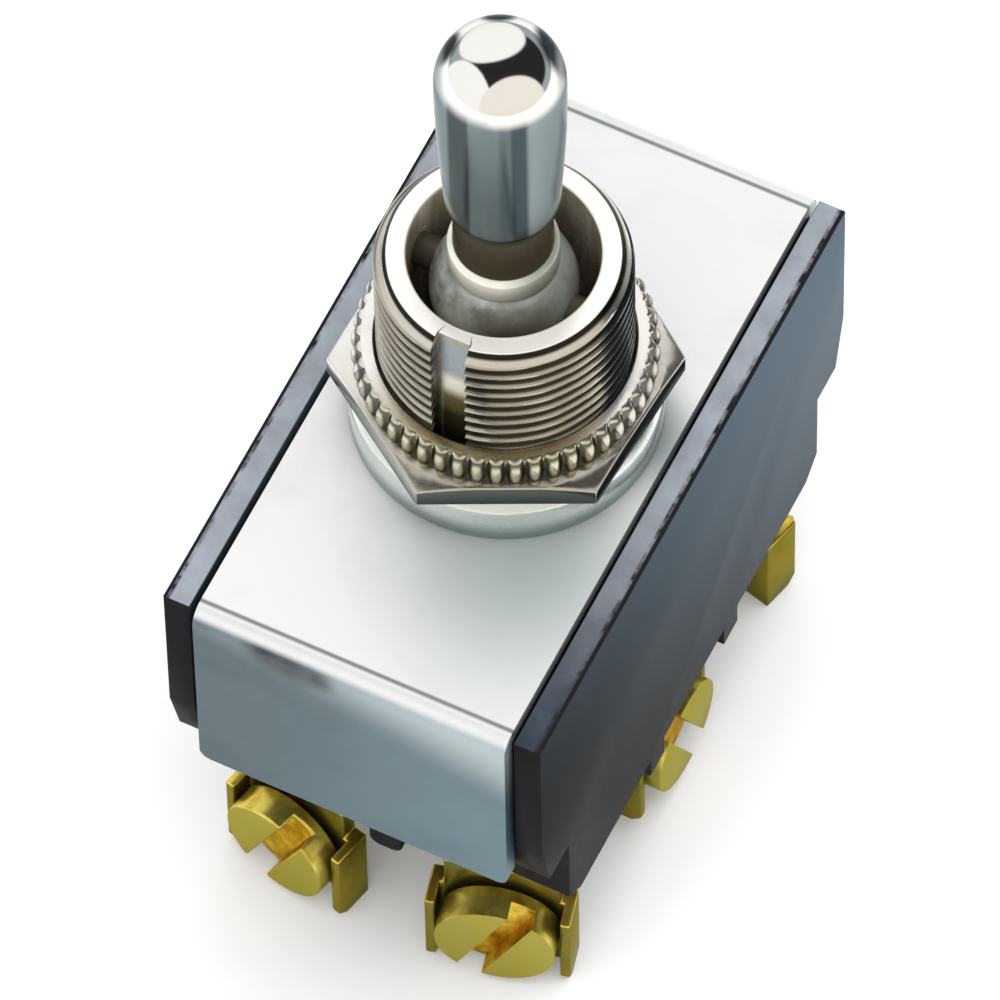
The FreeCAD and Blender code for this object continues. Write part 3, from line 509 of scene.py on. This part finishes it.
def chrome_material(finish):
    """Painted reflections on the plate: a bright bat with upright streaks, a dark neck and a pale
    shoulder over the grey ball.
    """
    material, tree, shader = new_material("Chrome plate", 1.0, 0.10)
    wave = effect(tree, "Stain", Scale=420.0, Start=0.35, End=0.75, Stretch=(1.0, 1.0, 0.02))
    bat = finish.chrome
    # Painted reflections: upright streaks across the bat.
    for start, end, tone in ((-2.5, -2.3, (0.09, 0.10, 0.10)), (-1.6, -1.4, (0.20, 0.24, 0.24)),
                             (-0.3, 0.0, (0.15, 0.185, 0.19)), (0.35, 0.5, (0.075, 0.10, 0.11)),
                             (1.0, 1.3, (0.30, 0.345, 0.345))):
        streak = across(tree, start, end)
        bat = tint(tree, streak, bat, tint(tree, wave, tone, [channel * 0.75 for channel in tone]))
    # Painted reflection: a warm spot at the foot of the bat.
    foot = effect(tree, "Spot", Centre=(-2.2 * MM, -2.0 * MM, FRAME_TOP + 18.9 * MM), Reach=1.5 * MM)
    bat = tint(tree, foot, bat, (0.62, 0.57, 0.36))
    # Painted highlight on the dome.
    dome = rise(tree, FRAME_TOP, 28.2, 29.2)
    bat = tint(tree, dome, bat, (0.92, 0.91, 0.88))
    # Painted highlight: a warm cream brow on the dome.
    warm = across(tree, -0.9, -0.3)
    brow = rise(tree, FRAME_TOP, 29.5, 28.9)
    brow = both(tree, warm, both(tree, dome, brow))
    bat = tint(tree, brow, bat, (0.88, 0.82, 0.74))
    # Painted reflections: dark patches on the dome where it faces three ways.
    for direction, start, end in (((0.643, 0.609, 0.469), 0.86, 0.95),
                                  ((-0.326, 0.63, 0.707), 0.95, 0.99),
                                  ((-0.832, -0.133, 0.538), 0.93, 0.98)):
        card = effect(tree, "Facing", Direction=direction, From=start, To=end)
        bat = tint(tree, card, bat, (0.035, 0.035, 0.038))
    # Painted reflection: grey at the dome's two edges across.
    for way in (-1, 1):
        rim = across(tree, 2.35, 2.85, way)
        bat = tint(tree, both(tree, rim, dome), bat, (0.34, 0.37, 0.37))
    # Painted reflection: a dark neck under the bat.
    low = rise(tree, FRAME_TOP, 18.08, 18.16)
    colour = tint(tree, low, (0.060, 0.048, 0.028), bat)
    # Painted highlight: a pale shoulder on one side, grey on the other.
    turned = across(tree, -0.5, 1.6)
    pale = tint(tree, turned, (0.93, 0.91, 0.80), (0.40, 0.41, 0.34))
    shoulder = rise(tree, FRAME_TOP, 14.62, 14.52)
    colour = tint(tree, shoulder, colour, pale)
    # Painted reflection: grey tones with patches on the ball.
    ball = rise(tree, FRAME_TOP, 13.02, 12.9)
    cloud = effect(tree, "Stain", Scale=380.0, Start=0.45, End=0.62)
    grey = tint(tree, turned, (0.62, 0.65, 0.62), (0.36, 0.37, 0.34))
    colour = tint(tree, ball, colour, tint(tree, cloud, grey, (0.24, 0.24, 0.21)))
    # Painted shade on the front of the ball.
    front = effect(tree, "Spot", Centre=(1.9 * MM, -3.2 * MM, FRAME_TOP + 11.2 * MM), Reach=3.2 * MM)
    colour = tint(tree, spread(tree, front, 0.0, 0.9), colour, (0.10, 0.09, 0.06))
    tree.links.new(colour, shader.inputs["Base Color"])
    tree.links.new(spread(tree, low, 0.3, 1.0), shader.inputs["Metallic"])
    tree.links.new(spread(tree, dome, 0.20, 0.08), shader.inputs["Roughness"])
    shader.inputs["Specular Tint"].default_value = (0.50, 0.53, 0.53, 1)
    add_grain(tree, shader, 900.0, 0.04, 0.00006)
    return material


def brass_material(finish, name, share, dark, light):
    """Olive on upright faces and a painted golden highlight where a face looks up; share scales the
    upright faces, as painted shade on the terminals.
    """
    material, tree, shader = new_material(name, 0.85, 0.34)
    patch = effect(tree, "Stain", Scale=300.0, Start=0.42, End=0.72)
    upright = [channel * share for channel in finish.brass[:3]]
    face = tint(tree, spread(tree, patch, 0.0, 0.35), upright, dark)
    # Painted highlight: golden where a face looks up.
    up = effect(tree, "Facing", Direction=(0, 0, 1), From=0.15, To=0.55)
    fresh = effect(tree, "Stain", Scale=620.0, Start=0.38, End=0.62)
    gold = tint(tree, fresh, dark, light)
    tree.links.new(tint(tree, up, face, gold), shader.inputs["Base Color"])
    shader.inputs["Specular Tint"].default_value = (0.78, 0.70, 0.34, 1)
    tree.links.new(spread(tree, patch, 0.28, 0.42), shader.inputs["Roughness"])
    add_grain(tree, shader, 2500.0, 0.14, 0.00004)
    return material


def plain_material(name, below, above, metallic, roughness, scale=500.0, bump=0.15):
    """Material for an inner piece: two colours by patches, and its own grain."""
    material, tree, shader = new_material(name, metallic, roughness)
    patch = effect(tree, "Stain", Scale=scale, Start=0.4, End=0.68)
    tree.links.new(tint(tree, patch, below, above), shader.inputs["Base Color"])
    tree.links.new(spread(tree, patch, roughness * 0.85, roughness * 1.25), shader.inputs["Roughness"])
    if metallic > 0.5:
        shader.inputs["Specular Tint"].default_value = tuple(above) + (1.0,)
    add_grain(tree, shader, 3000.0, bump, 0.00004)
    return material


MATERIALS = {}


def material(name):
    """One material for each finish, made the first time that a piece asks for it."""
    finish = bpy.context.scene.switch_finish
    makers = {
        "zinc": lambda: zinc_material(finish),
        "case": lambda: case_material(finish),
        "bushing": lambda: bushing_material(finish),
        "nuts": lambda: nuts_material(finish),
        "chrome": lambda: chrome_material(finish),
        # Terminals: upright faces darkened to 0.45 as painted shade, gold on upward faces as painted
        # highlight.
        "terminal": lambda: brass_material(
            finish, "Brass terminal", 0.45, (0.58, 0.37, 0.035), (0.97, 0.76, 0.14)),
        "screw": lambda: brass_material(
            finish, "Brass screw", 1.0, (0.52, 0.37, 0.05), (0.95, 0.80, 0.18)),
        # Screw slots: dark orange with bright gold patches, painted shade and highlights in the recess.
        "slot": lambda: plain_material(
            "Brass slot", (0.36, 0.19, 0.015), (0.90, 0.66, 0.09), 0.85, 0.34, 900.0),
        "fibre": lambda: plain_material(
            "Vulcanised fibre", (0.10, 0.055, 0.035), (0.17, 0.10, 0.07), 0.0, 0.7),
        "nylon": lambda: plain_material(
            "Natural nylon", (0.62, 0.58, 0.46), (0.72, 0.69, 0.58), 0.0, 0.45),
        "steel": lambda: plain_material(
            "Hardened steel pin", (0.05, 0.045, 0.035), (0.08, 0.07, 0.05), 0.4, 0.5),
        "wire": lambda: plain_material(
            "Music wire", (0.28, 0.28, 0.29), (0.42, 0.42, 0.43), 1.0, 0.3),
        "copper": lambda: plain_material(
            "Copper strip", (0.55, 0.24, 0.12), (0.36, 0.15, 0.08), 1.0, 0.34),
        "silver": lambda: plain_material(
            "Fine silver", (0.82, 0.82, 0.80), (0.60, 0.59, 0.56), 1.0, 0.25),
    }
    if name not in MATERIALS:
        MATERIALS[name] = makers[name]()
    return MATERIALS[name]


# Shapes.

def show(name, mesh, finish, body, slot, *nodes):
    """Put a mesh in the scene in place of its nodes, riding on their body."""
    piece = bpy.data.objects.new(name, mesh)
    bpy.context.scene.collection.objects.link(piece)
    mesh.materials.clear()
    mesh.materials.append(material(finish))
    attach(piece, body)
    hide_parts(*nodes)
    return piece


def dress(node, finish):
    """Give a carried-over solid its material."""
    target = NODES[node]
    target.data.materials.clear()
    target.data.materials.append(material(finish))


def finish_mesh(mesh_builder, name, sharp_angle=35.0):
    mesh = bpy.data.meshes.new(name)
    bmesh.ops.recalc_face_normals(mesh_builder, faces=mesh_builder.faces)
    mesh_builder.to_mesh(mesh)
    mesh_builder.free()
    mesh.shade_smooth()
    mesh.set_sharp_from_angle(angle=math.radians(sharp_angle))
    return mesh


def grid_mesh(rows, name, sharp_angle=35.0, closed_ends=(False, False)):
    """Skin rows of points, each row closed on itself; an end can be capped to its middle."""
    builder = bmesh.new()
    made = [[builder.verts.new(point) for point in row] for row in rows]
    count = len(rows[0])
    for lower, upper in zip(made, made[1:]):
        for index in range(count):
            after = (index + 1) % count
            builder.faces.new((lower[index], lower[after], upper[after], upper[index]))
    for ring, capped in ((made[0], closed_ends[0]), (made[-1], closed_ends[1])):
        if capped:
            middle = builder.verts.new(sum((vert.co for vert in ring), Vector()) / count)
            for index in range(count):
                builder.faces.new((ring[index], ring[(index + 1) % count], middle))
    bmesh.ops.remove_doubles(builder, verts=builder.verts, dist=1e-7)
    return finish_mesh(builder, name, sharp_angle)


def arc_points(centre, radius, start, end, steps):
    """Points of radius and height along an arc, its angles in degrees from the outward level."""
    return [(centre[0] + radius * math.cos(math.radians(start + (end - start) * step / steps)),
             centre[1] + radius * math.sin(math.radians(start + (end - start) * step / steps)))
            for step in range(steps + 1)]


def lathe_rows(profile, segments):
    return [[Vector((radius * math.cos(2 * math.pi * index / segments) * MM,
                     radius * math.sin(2 * math.pi * index / segments) * MM,
                     FRAME_TOP + height * MM)) for index in range(segments)]
            for radius, height in profile]


def softened(node, rounding, steps=2, angle=25.0):
    """Copy a solid's mesh and break its sharp edges."""
    builder = bmesh.new()
    builder.from_mesh(NODES[node].data)
    bmesh.ops.remove_doubles(builder, verts=builder.verts, dist=2e-6)
    bmesh.ops.dissolve_limit(builder, angle_limit=math.radians(1.0), verts=builder.verts,
                             edges=builder.edges)
    mesh = bpy.data.meshes.new(node + "_soft")
    builder.to_mesh(mesh)
    builder.free()
    carrier = bpy.data.objects.new("carrier", mesh)
    bpy.context.scene.collection.objects.link(carrier)
    bevel = carrier.modifiers.new("bevel", "BEVEL")
    bevel.width = rounding
    bevel.segments = steps
    bevel.limit_method = "ANGLE"
    bevel.angle_limit = math.radians(angle)
    bevel.use_clamp_overlap = True
    bpy.context.view_layer.update()
    evaluated = carrier.evaluated_get(bpy.context.evaluated_depsgraph_get())
    rounded = bpy.data.meshes.new_from_object(evaluated)
    rounded.name = node + "_rounded"
    bpy.data.objects.remove(carrier)
    rounded.shade_smooth()
    rounded.set_sharp_from_angle(angle=math.radians(40))
    return rounded


class SWITCH_OT_frame(bpy.types.Operator):
    """Metal frame and the fibre sheet under it"""
    bl_idname = "switch.frame"
    bl_label = "Metal frame"

    def execute(self, context):
        dress("frame_strap", "zinc")
        dress("insulator_sheet", "fibre")
        return {"FINISHED"}


class SWITCH_OT_case(bpy.types.Operator):
    """Moulded case with its edges broken"""
    bl_idname = "switch.case"
    bl_label = "Case"

    def execute(self, context):
        mesh = softened("case_moulding", context.scene.switch_sizes.edge_rounding)
        show("case_shell", mesh, "case", "housing", "black_phenolic", "case_moulding")
        return {"FINISHED"}


# Bushing, in millimetres.
KEY_HALF = 0.85
KEY_FLOOR = 5.05
BORE = 4.41
COLLAR_TOP = 2.8
MOUTH_CHAMFER = 0.62
THREAD_PHASE = 0.25


def helix_radius(height, angle, outer, pitch, depth):
    """Radius of a right-hand V thread with flat crests, at a height and an angle."""
    turn = (height / pitch - angle / (2 * math.pi)) % 1.0
    cut = min(max((abs(2 * turn - 1) - 0.16) / 0.72, 0.0), 1.0)
    return outer - depth * cut


def bushing_rows(sizes, angles, start, top):
    """Bushing from the collar up, with its helical thread, its chamfered mouth and the keyway at -Y."""
    outer = sizes.thread_radius / MM
    pitch = sizes.thread_pitch / MM
    depth = sizes.thread_depth / MM
    steps = int((top - start) / (pitch / 12)) + 1
    rows = []
    for step in range(steps + 1):
        height = start + (top - start) * step / steps
        limit = outer - max(0.0, height - (top - MOUTH_CHAMFER))
        row = []
        for index, angle in enumerate(angles):
            radius = min(helix_radius(height + THREAD_PHASE, angle, outer, pitch, depth), limit)
            x, y = radius * math.cos(angle), radius * math.sin(angle)
            if index in (0, len(angles) - 1):
                x, y = math.copysign(KEY_HALF, x), -math.sqrt(radius ** 2 - KEY_HALF ** 2)
            row.append(Vector((x, y, height)))
        for share in (-1, -1 / 3, 1 / 3, 1):
            row.append(Vector((KEY_HALF * share, -KEY_FLOOR, height)))
        rows.append(row)
    return rows


class SWITCH_OT_bushing(bpy.types.Operator):
    """Threaded bushing with collar, helical thread, keyway and bore"""
    bl_idname = "switch.bushing"
    bl_label = "Bushing"

    def execute(self, context):
        sizes = context.scene.switch_sizes
        top = (BUSHING_TOP - FRAME_TOP) / MM
        key = math.asin(KEY_HALF * MM / sizes.thread_radius)
        angles = [-math.pi / 2 + key + (2 * math.pi - 2 * key) * index / 150 for index in range(151)]
        thread = bushing_rows(sizes, angles, COLLAR_TOP, top)

        def ring(radius, height):
            turns = angles + [-math.pi / 2 + key * share for share in (-0.98, -1 / 3, 1 / 3, 0.98)]
            return [Vector((math.cos(turn) * radius, math.sin(turn) * radius, height)) for turn in turns]

        inside = [ring(BORE + 0.16, top), ring(BORE + 0.05, top - 0.05), ring(BORE, top - 0.16),
                  ring(BORE, 9.0), ring(BORE, 5.0), ring(BORE, -1.5)]
        skirt = [ring(radius, height) for radius, height in (
            (6.2, -1.5), (6.2, -0.8), (5.6, -0.8), (5.6, 0.0), (7.2, 0.0), (7.35, 0.12),
            (7.35, 2.15), (7.28, 2.3), (6.95, 2.74), (6.8, COLLAR_TOP))]
        rows = [inside[-1]] + skirt + thread + inside
        placed = [[Vector((p.x * MM, p.y * MM, FRAME_TOP + p.z * MM)) for p in row] for row in rows]
        mesh = grid_mesh(placed, "bushing", 32.0)
        show("bushing_threaded", mesh, "bushing", "housing", "nickel", "threaded_bushing")
        return {"FINISHED"}


class SWITCH_OT_nuts(bpy.types.Operator):
    """Hexagon nut and knurled ring nut"""
    bl_idname = "switch.nuts"
    bl_label = "Nuts"

    def execute(self, context):
        mesh = softened("hex_nut", 0.12 * MM)
        show("hexagon_nut", mesh, "nuts", "hex_nut", "nickel", "hex_nut")
        teeth = context.scene.switch_sizes.knurl_teeth
        low = (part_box("knurled_nut")[0].z - FRAME_TOP) / MM
        high = (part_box("knurled_nut")[1].z - FRAME_TOP) / MM
        per_tooth = 10
        count = teeth * per_tooth
        profile = [(6.0, low, 0.0), (6.8, low, 0.0), (6.95, low + 0.1, 0.6), (7.05, low + 0.3, 1.0),
                   (7.1, low + 0.6, 1.0), (7.1, high - 0.75, 1.0), (7.05, high - 0.5, 1.0),
                   (6.94, high - 0.28, 0.95), (6.8, high - 0.12, 0.6), (6.64, high - 0.04, 0.0),
                   (6.5, high, 0.0), (6.1, high, 0.0), (6.0, high - 0.12, 0.0), (6.0, low, 0.0)]
        rows = []
        for radius, height, share in profile:
            row = []
            for index in range(count):
                phase = (index % per_tooth) / per_tooth
                dip = 0.5 - 0.5 * math.cos(2 * math.pi * phase)
                reach = radius - 0.36 * share * dip ** 1.5
                angle = 2 * math.pi * index / count
                row.append(Vector((reach * math.cos(angle) * MM, reach * math.sin(angle) * MM,
                                   FRAME_TOP + height * MM)))
            rows.append(row)
        mesh = grid_mesh(rows, "knurl", 50.0)
        show("knurled_ring_nut", mesh, "nuts", "knurled_nut", "nickel", "knurled_nut")
        return {"FINISHED"}


class SWITCH_OT_lever(bpy.types.Operator):
    """Chrome bat lever with its neck, shoulder and pivot ball"""
    bl_idname = "switch.lever"
    bl_label = "Lever"

    def execute(self, context):
        tip = (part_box("toggle_lever")[1].z - FRAME_TOP) / MM
        profile = [(0.0, -6.3), (1.3, -6.3), (1.5, -6.1), (1.5, 7.3)]
        profile += arc_points((0, 10.6), 3.45, -62, 45, 20)
        profile += [(2.5, 12.95), (2.58, 13.05), (2.58, 14.25), (2.5, 14.42), (2.36, 14.5), (2.33, 14.6)]
        profile += [(2.30, 15.5), (2.30, 17.3), (2.33, 18.0), (2.36, 18.12)]
        profile += [(2.46, 18.14), (2.58, 18.2), (2.64, 18.32), (2.67, 18.5)]
        for step in range(1, 13):
            share = step / 12
            profile.append((2.67 + 0.33 * math.sin(share * math.pi / 2) ** 1.1, 18.5 + 9.0 * share))
        profile += arc_points((0, tip - 3.0), 3.0, 3, 90, 22)
        mesh = grid_mesh(lathe_rows(profile, 96), "lever", 40.0)
        show("bat_lever", mesh, "chrome", "lever", "chrome_lever", "toggle_lever")
        return {"FINISHED"}


def coil_mesh(offset, low, high, radius, wire, turns=6):
    """Helical spring of round wire, with its end turns laid flat."""
    steps = turns * 28
    rows = []
    for step in range(steps + 1):
        angle = 2 * math.pi * turns * step / steps
        share = min(max((angle / (2 * math.pi) - 0.8) / (turns - 1.6), 0.0), 1.0)
        height = low + wire + (high - low - 2 * wire) * share
        out = Vector((math.cos(angle), math.sin(angle), 0))
        middle = Vector((offset, 0, height)) + out * radius
        rows.append([middle + (out * math.cos(turn) + Vector((0, 0, 1)) * math.sin(turn)) * wire
                     for turn in (2 * math.pi * index / 10 for index in range(10))])
    return grid_mesh(rows, "coil", 60.0, (True, True))


class SWITCH_OT_actuator(bpy.types.Operator):
    """Pivot pin, actuator, plungers and their coiled springs"""
    bl_idname = "switch.actuator"
    bl_label = "Actuator"

    def execute(self, context):
        dress("pivot_pin", "steel")
        mesh = softened("actuator", 0.15 * MM)
        show("actuator_block", mesh, "nylon", "lever", "nylon", "actuator")
        for side in SIDES:
            dress("plunger_" + side, "terminal")
            low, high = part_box("plunger_spring_" + side)
            wire = 0.18 * MM
            mesh = coil_mesh((low.x + high.x) / 2, low.z, high.z, (high.x - low.x) / 2 - wire, wire)
            coil = show("coil_" + side, mesh, "wire", "lever", "spring_steel", "plunger_spring_" + side)
            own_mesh(coil)
        return {"FINISHED"}


class SWITCH_OT_contacts(bpy.types.Operator):
    """Rockers, moving contacts and fixed contacts"""
    bl_idname = "switch.contacts"
    bl_label = "Contacts"

    def execute(self, context):
        for side in SIDES:
            dress("contact_rocker_" + side, "copper")
            for end in ENDS:
                dress("rocker_contact_%s_%s" % (side, end), "silver")
                dress("fixed_contact_%s_%s" % (side, end), "silver")
        return {"FINISHED"}


class SWITCH_OT_terminals(bpy.types.Operator):
    """Folded brass terminals with their sheared edges broken"""
    bl_idname = "switch.terminals"
    bl_label = "Terminals"

    def execute(self, context):
        names = ["centre_terminal_" + side for side in SIDES]
        names += ["end_terminal_%s_%s" % (side, end) for side in SIDES for end in ENDS]
        for node in names:
            mesh = softened(node, 0.14 * MM)
            show(node.replace("terminal", "brass"), mesh, "terminal", "housing", "brass", node)
        return {"FINISHED"}


# Terminal screws, in millimetres.
SCREW_HEAD = 1.6
SCREW_RADIUS = 1.7
SCREW_GROOVE = 0.26


def screw_mesh(node, pivot, axis, pitch):
    """Slotted head from the solid, its edges rounded, on a shank with a helical thread."""
    along = axis.normalized()
    side = Vector((0, 0, 1)).cross(along).normalized()
    rounded = softened(node, 0.26 * MM, 3)
    builder = bmesh.new()
    builder.from_mesh(rounded)

    def depth(point):
        return (point - pivot).dot(along)

    def away(point):
        offset = point - pivot
        return (offset - along * offset.dot(along)).length

    front = max(depth(vert.co) for vert in builder.verts)
    back = min(depth(vert.co) for vert in builder.verts)
    under = front - SCREW_HEAD * MM
    shank = [face for face in builder.faces
             if all(away(vert.co) < 1.76 * MM and depth(vert.co) < under + 0.1 * MM
                    for vert in face.verts)]
    bmesh.ops.delete(builder, geom=shank, context="FACES")
    reach = SCREW_RADIUS * MM
    rings = []
    steps = int((under - back) / (pitch / 8)) + 1
    for step in range(steps + 1):
        place = back + (under + 0.05 * MM - back) * step / steps
        taper = min(1.0, 0.78 + 0.22 * (place - back) / (0.5 * MM))
        ring = []
        for index in range(32):
            angle = 2 * math.pi * index / 32
            out = side * math.cos(angle) + Vector((0, 0, 1)) * math.sin(angle)
            radius = helix_radius(place / MM, -angle, reach / MM, pitch / MM, SCREW_GROOVE) * MM * taper
            ring.append(builder.verts.new(pivot + along * place + out * radius))
        rings.append(ring)
    for lower, upper in zip(rings, rings[1:]):
        for index in range(32):
            after = (index + 1) % 32
            builder.faces.new((lower[index], lower[after], upper[after], upper[index]))
    builder.faces.new(rings[0])
    mesh = finish_mesh(builder, node + "_turned", 45.0)
    floor = [face.index for face in mesh.polygons
             if 0.12 * MM < front - depth(face.center) < 1.2 * MM and away(face.center) < 2.75 * MM]
    return mesh, floor


class SWITCH_OT_screws(bpy.types.Operator):
    """Slotted terminal screws"""
    bl_idname = "switch.screws"
    bl_label = "Screws"

    def execute(self, context):
        spins = {joint["name"]: joint for joint in frame["joints"]}
        names = [side + "_centre" for side in SIDES]
        names += ["%s_%s" % (side, end) for side in SIDES for end in ENDS]
        for name in names:
            spin = spins["screw_spin_" + name]
            mesh, floor = screw_mesh("terminal_screw_" + name, Vector(spin["pos_m"]),
                                     Vector(spin["axis"]), context.scene.switch_sizes.screw_pitch)
            show("screw_" + name + "_slotted", mesh, "screw", "screw_" + name, "brass_screw",
                 "terminal_screw_" + name)
            mesh.materials.append(material("slot"))
            for index in floor:
                mesh.polygons[index].material_index = 1
        return {"FINISHED"}


def studio_world():
    """White behind the switch; for reflections a dark ceiling with soft boxes behind and in front."""
    world = bpy.data.worlds.new("Studio")
    bpy.context.scene.world = world
    world.use_nodes = True
    tree = world.node_tree
    tree.nodes.clear()
    out = tree.nodes.new("ShaderNodeOutputWorld")
    way = add_node(tree, "TexCoord").outputs["Generated"]
    colour = (0.36, 0.40, 0.42)
    for direction, start, end, tone in (
            ((0.20, 0.05, 0.98), 0.30, 0.38, (0.02, 0.02, 0.022)),
            ((-0.592, -0.799, 0.108), 0.64, 0.68, (1.0, 1.0, 0.99)),
            ((0.740, -0.659, 0.133), 0.56, 0.61, (0.92, 0.87, 0.80)),
            ((-0.499, 0.561, 0.660), 0.68, 0.74, (1.0, 1.0, 1.0))):
        facing = add_node(tree, "VectorMath", {"operation": "DOT_PRODUCT"}, i0=way, i1=direction)
        mask = add_node(tree, "MapRange", {"interpolation_type": "SMOOTHSTEP"},
                        Value=facing.outputs["Value"], From_Min=start, From_Max=end)
        colour = tint(tree, mask.outputs[0], colour, tone)
    path = add_node(tree, "LightPath")
    colour = tint(tree, path.outputs["Is Glossy Ray"], (0.50, 0.51, 0.52), colour)
    colour = tint(tree, path.outputs["Is Camera Ray"], colour, (1.0, 1.0, 1.0))
    light = add_node(tree, "Background", Color=colour, Strength=1.0)
    tree.links.new(light.outputs[0], out.inputs[0])


def floor_material():
    pale, _, shader = new_material("Pale table", 0.0, 0.9)
    shader.inputs["Base Color"].default_value = (0.93, 0.93, 0.93, 1)
    shader.inputs["Emission Color"].default_value = (1, 1, 1, 1)
    shader.inputs["Emission Strength"].default_value = 0.12
    return pale


class SWITCH_OT_stage(bpy.types.Operator):
    """Pale floor, soft light and the camera"""
    bl_idname = "switch.stage"
    bl_label = "Stage"

    def execute(self, context):
        scene = context.scene
        studio = scene.switch_studio
        floor = bpy.data.meshes.new("floor")
        reach = 0.8
        corners = [(-reach, -reach, 0), (reach, -reach, 0), (reach, reach, 0), (-reach, reach, 0)]
        floor.from_pydata(corners, [], [(0, 1, 2, 3)])
        table = bpy.data.objects.new("table", floor)
        floor.materials.append(floor_material())
        scene.collection.objects.link(table)

        def lamp(name, place, size, power):
            data = bpy.data.lights.new(name, "AREA")
            data.size = size
            data.energy = power
            shine = bpy.data.objects.new(name, data)
            shine.visible_glossy = False
            scene.collection.objects.link(shine)
            shine.location = place
            aim = Vector((0, 0, 0.03)) - Vector(place)
            shine.rotation_euler = aim.to_track_quat("-Z", "Y").to_euler()

        lamp("key", (0.12, 0.14, 0.85), 0.9, 6.3)
        lamp("fill", (-0.10, -0.50, 0.70), 0.9, 3.0)

        right = Vector((math.cos(studio.azimuth), math.sin(studio.azimuth), 0))
        level = Vector((-math.sin(studio.azimuth), math.cos(studio.azimuth), 0))
        ahead = level * math.cos(studio.elevation) - Vector((0, 0, math.sin(studio.elevation)))
        upward = right.cross(ahead)
        leaned = right * math.cos(studio.roll) + upward * math.sin(studio.roll)
        upright = upward * math.cos(studio.roll) - right * math.sin(studio.roll)
        # The picture's centre, in millimetres right of and above the middle of the frame's top.
        aside, higher = -0.317, -4.514
        aim = Vector((0, 0, FRAME_TOP)) + leaned * aside * MM + upright * higher * MM
        data = bpy.data.cameras.new("camera")
        data.lens = studio.lens
        data.sensor_width = 36.0
        data.clip_start = 0.01
        data.clip_end = 20.0
        camera = bpy.data.objects.new("camera", data)
        scene.collection.objects.link(camera)
        turn = Matrix((leaned, upright, -ahead)).transposed().to_4x4()
        camera.matrix_world = Matrix.Translation(aim - ahead * studio.distance) @ turn
        scene.camera = camera
        scene.view_settings.view_transform = "Standard"
        studio_world()
        return {"FINISHED"}


class SWITCH_PT_panel(bpy.types.Panel):
    bl_label = "Toggle switch"
    bl_idname = "SWITCH_PT_panel"
    bl_space_type = "VIEW_3D"
    bl_region_type = "UI"
    bl_category = "Switch"

    def draw(self, context):
        for operator in OPERATORS:
            self.layout.operator(operator.bl_idname)


OPERATORS = (SWITCH_OT_frame, SWITCH_OT_case, SWITCH_OT_bushing, SWITCH_OT_nuts, SWITCH_OT_lever,
             SWITCH_OT_actuator, SWITCH_OT_contacts, SWITCH_OT_terminals, SWITCH_OT_screws,
             SWITCH_OT_stage)
CLASSES = (SwitchSizes, SwitchFinish, SwitchStudio) + OPERATORS + (SWITCH_PT_panel,)


def register():
    for item in CLASSES:
        bpy.utils.register_class(item)
    bpy.types.Scene.switch_sizes = bpy.props.PointerProperty(type=SwitchSizes)
    bpy.types.Scene.switch_finish = bpy.props.PointerProperty(type=SwitchFinish)
    bpy.types.Scene.switch_studio = bpy.props.PointerProperty(type=SwitchStudio)


def unregister():
    del bpy.types.Scene.switch_studio
    del bpy.types.Scene.switch_finish
    del bpy.types.Scene.switch_sizes
    for item in reversed(CLASSES):
        bpy.utils.unregister_class(item)


def main():
    register()
    for operator in OPERATORS:
        getattr(bpy.ops.switch, operator.bl_idname.split(".")[1])()


if __name__ == "__main__":
    main()
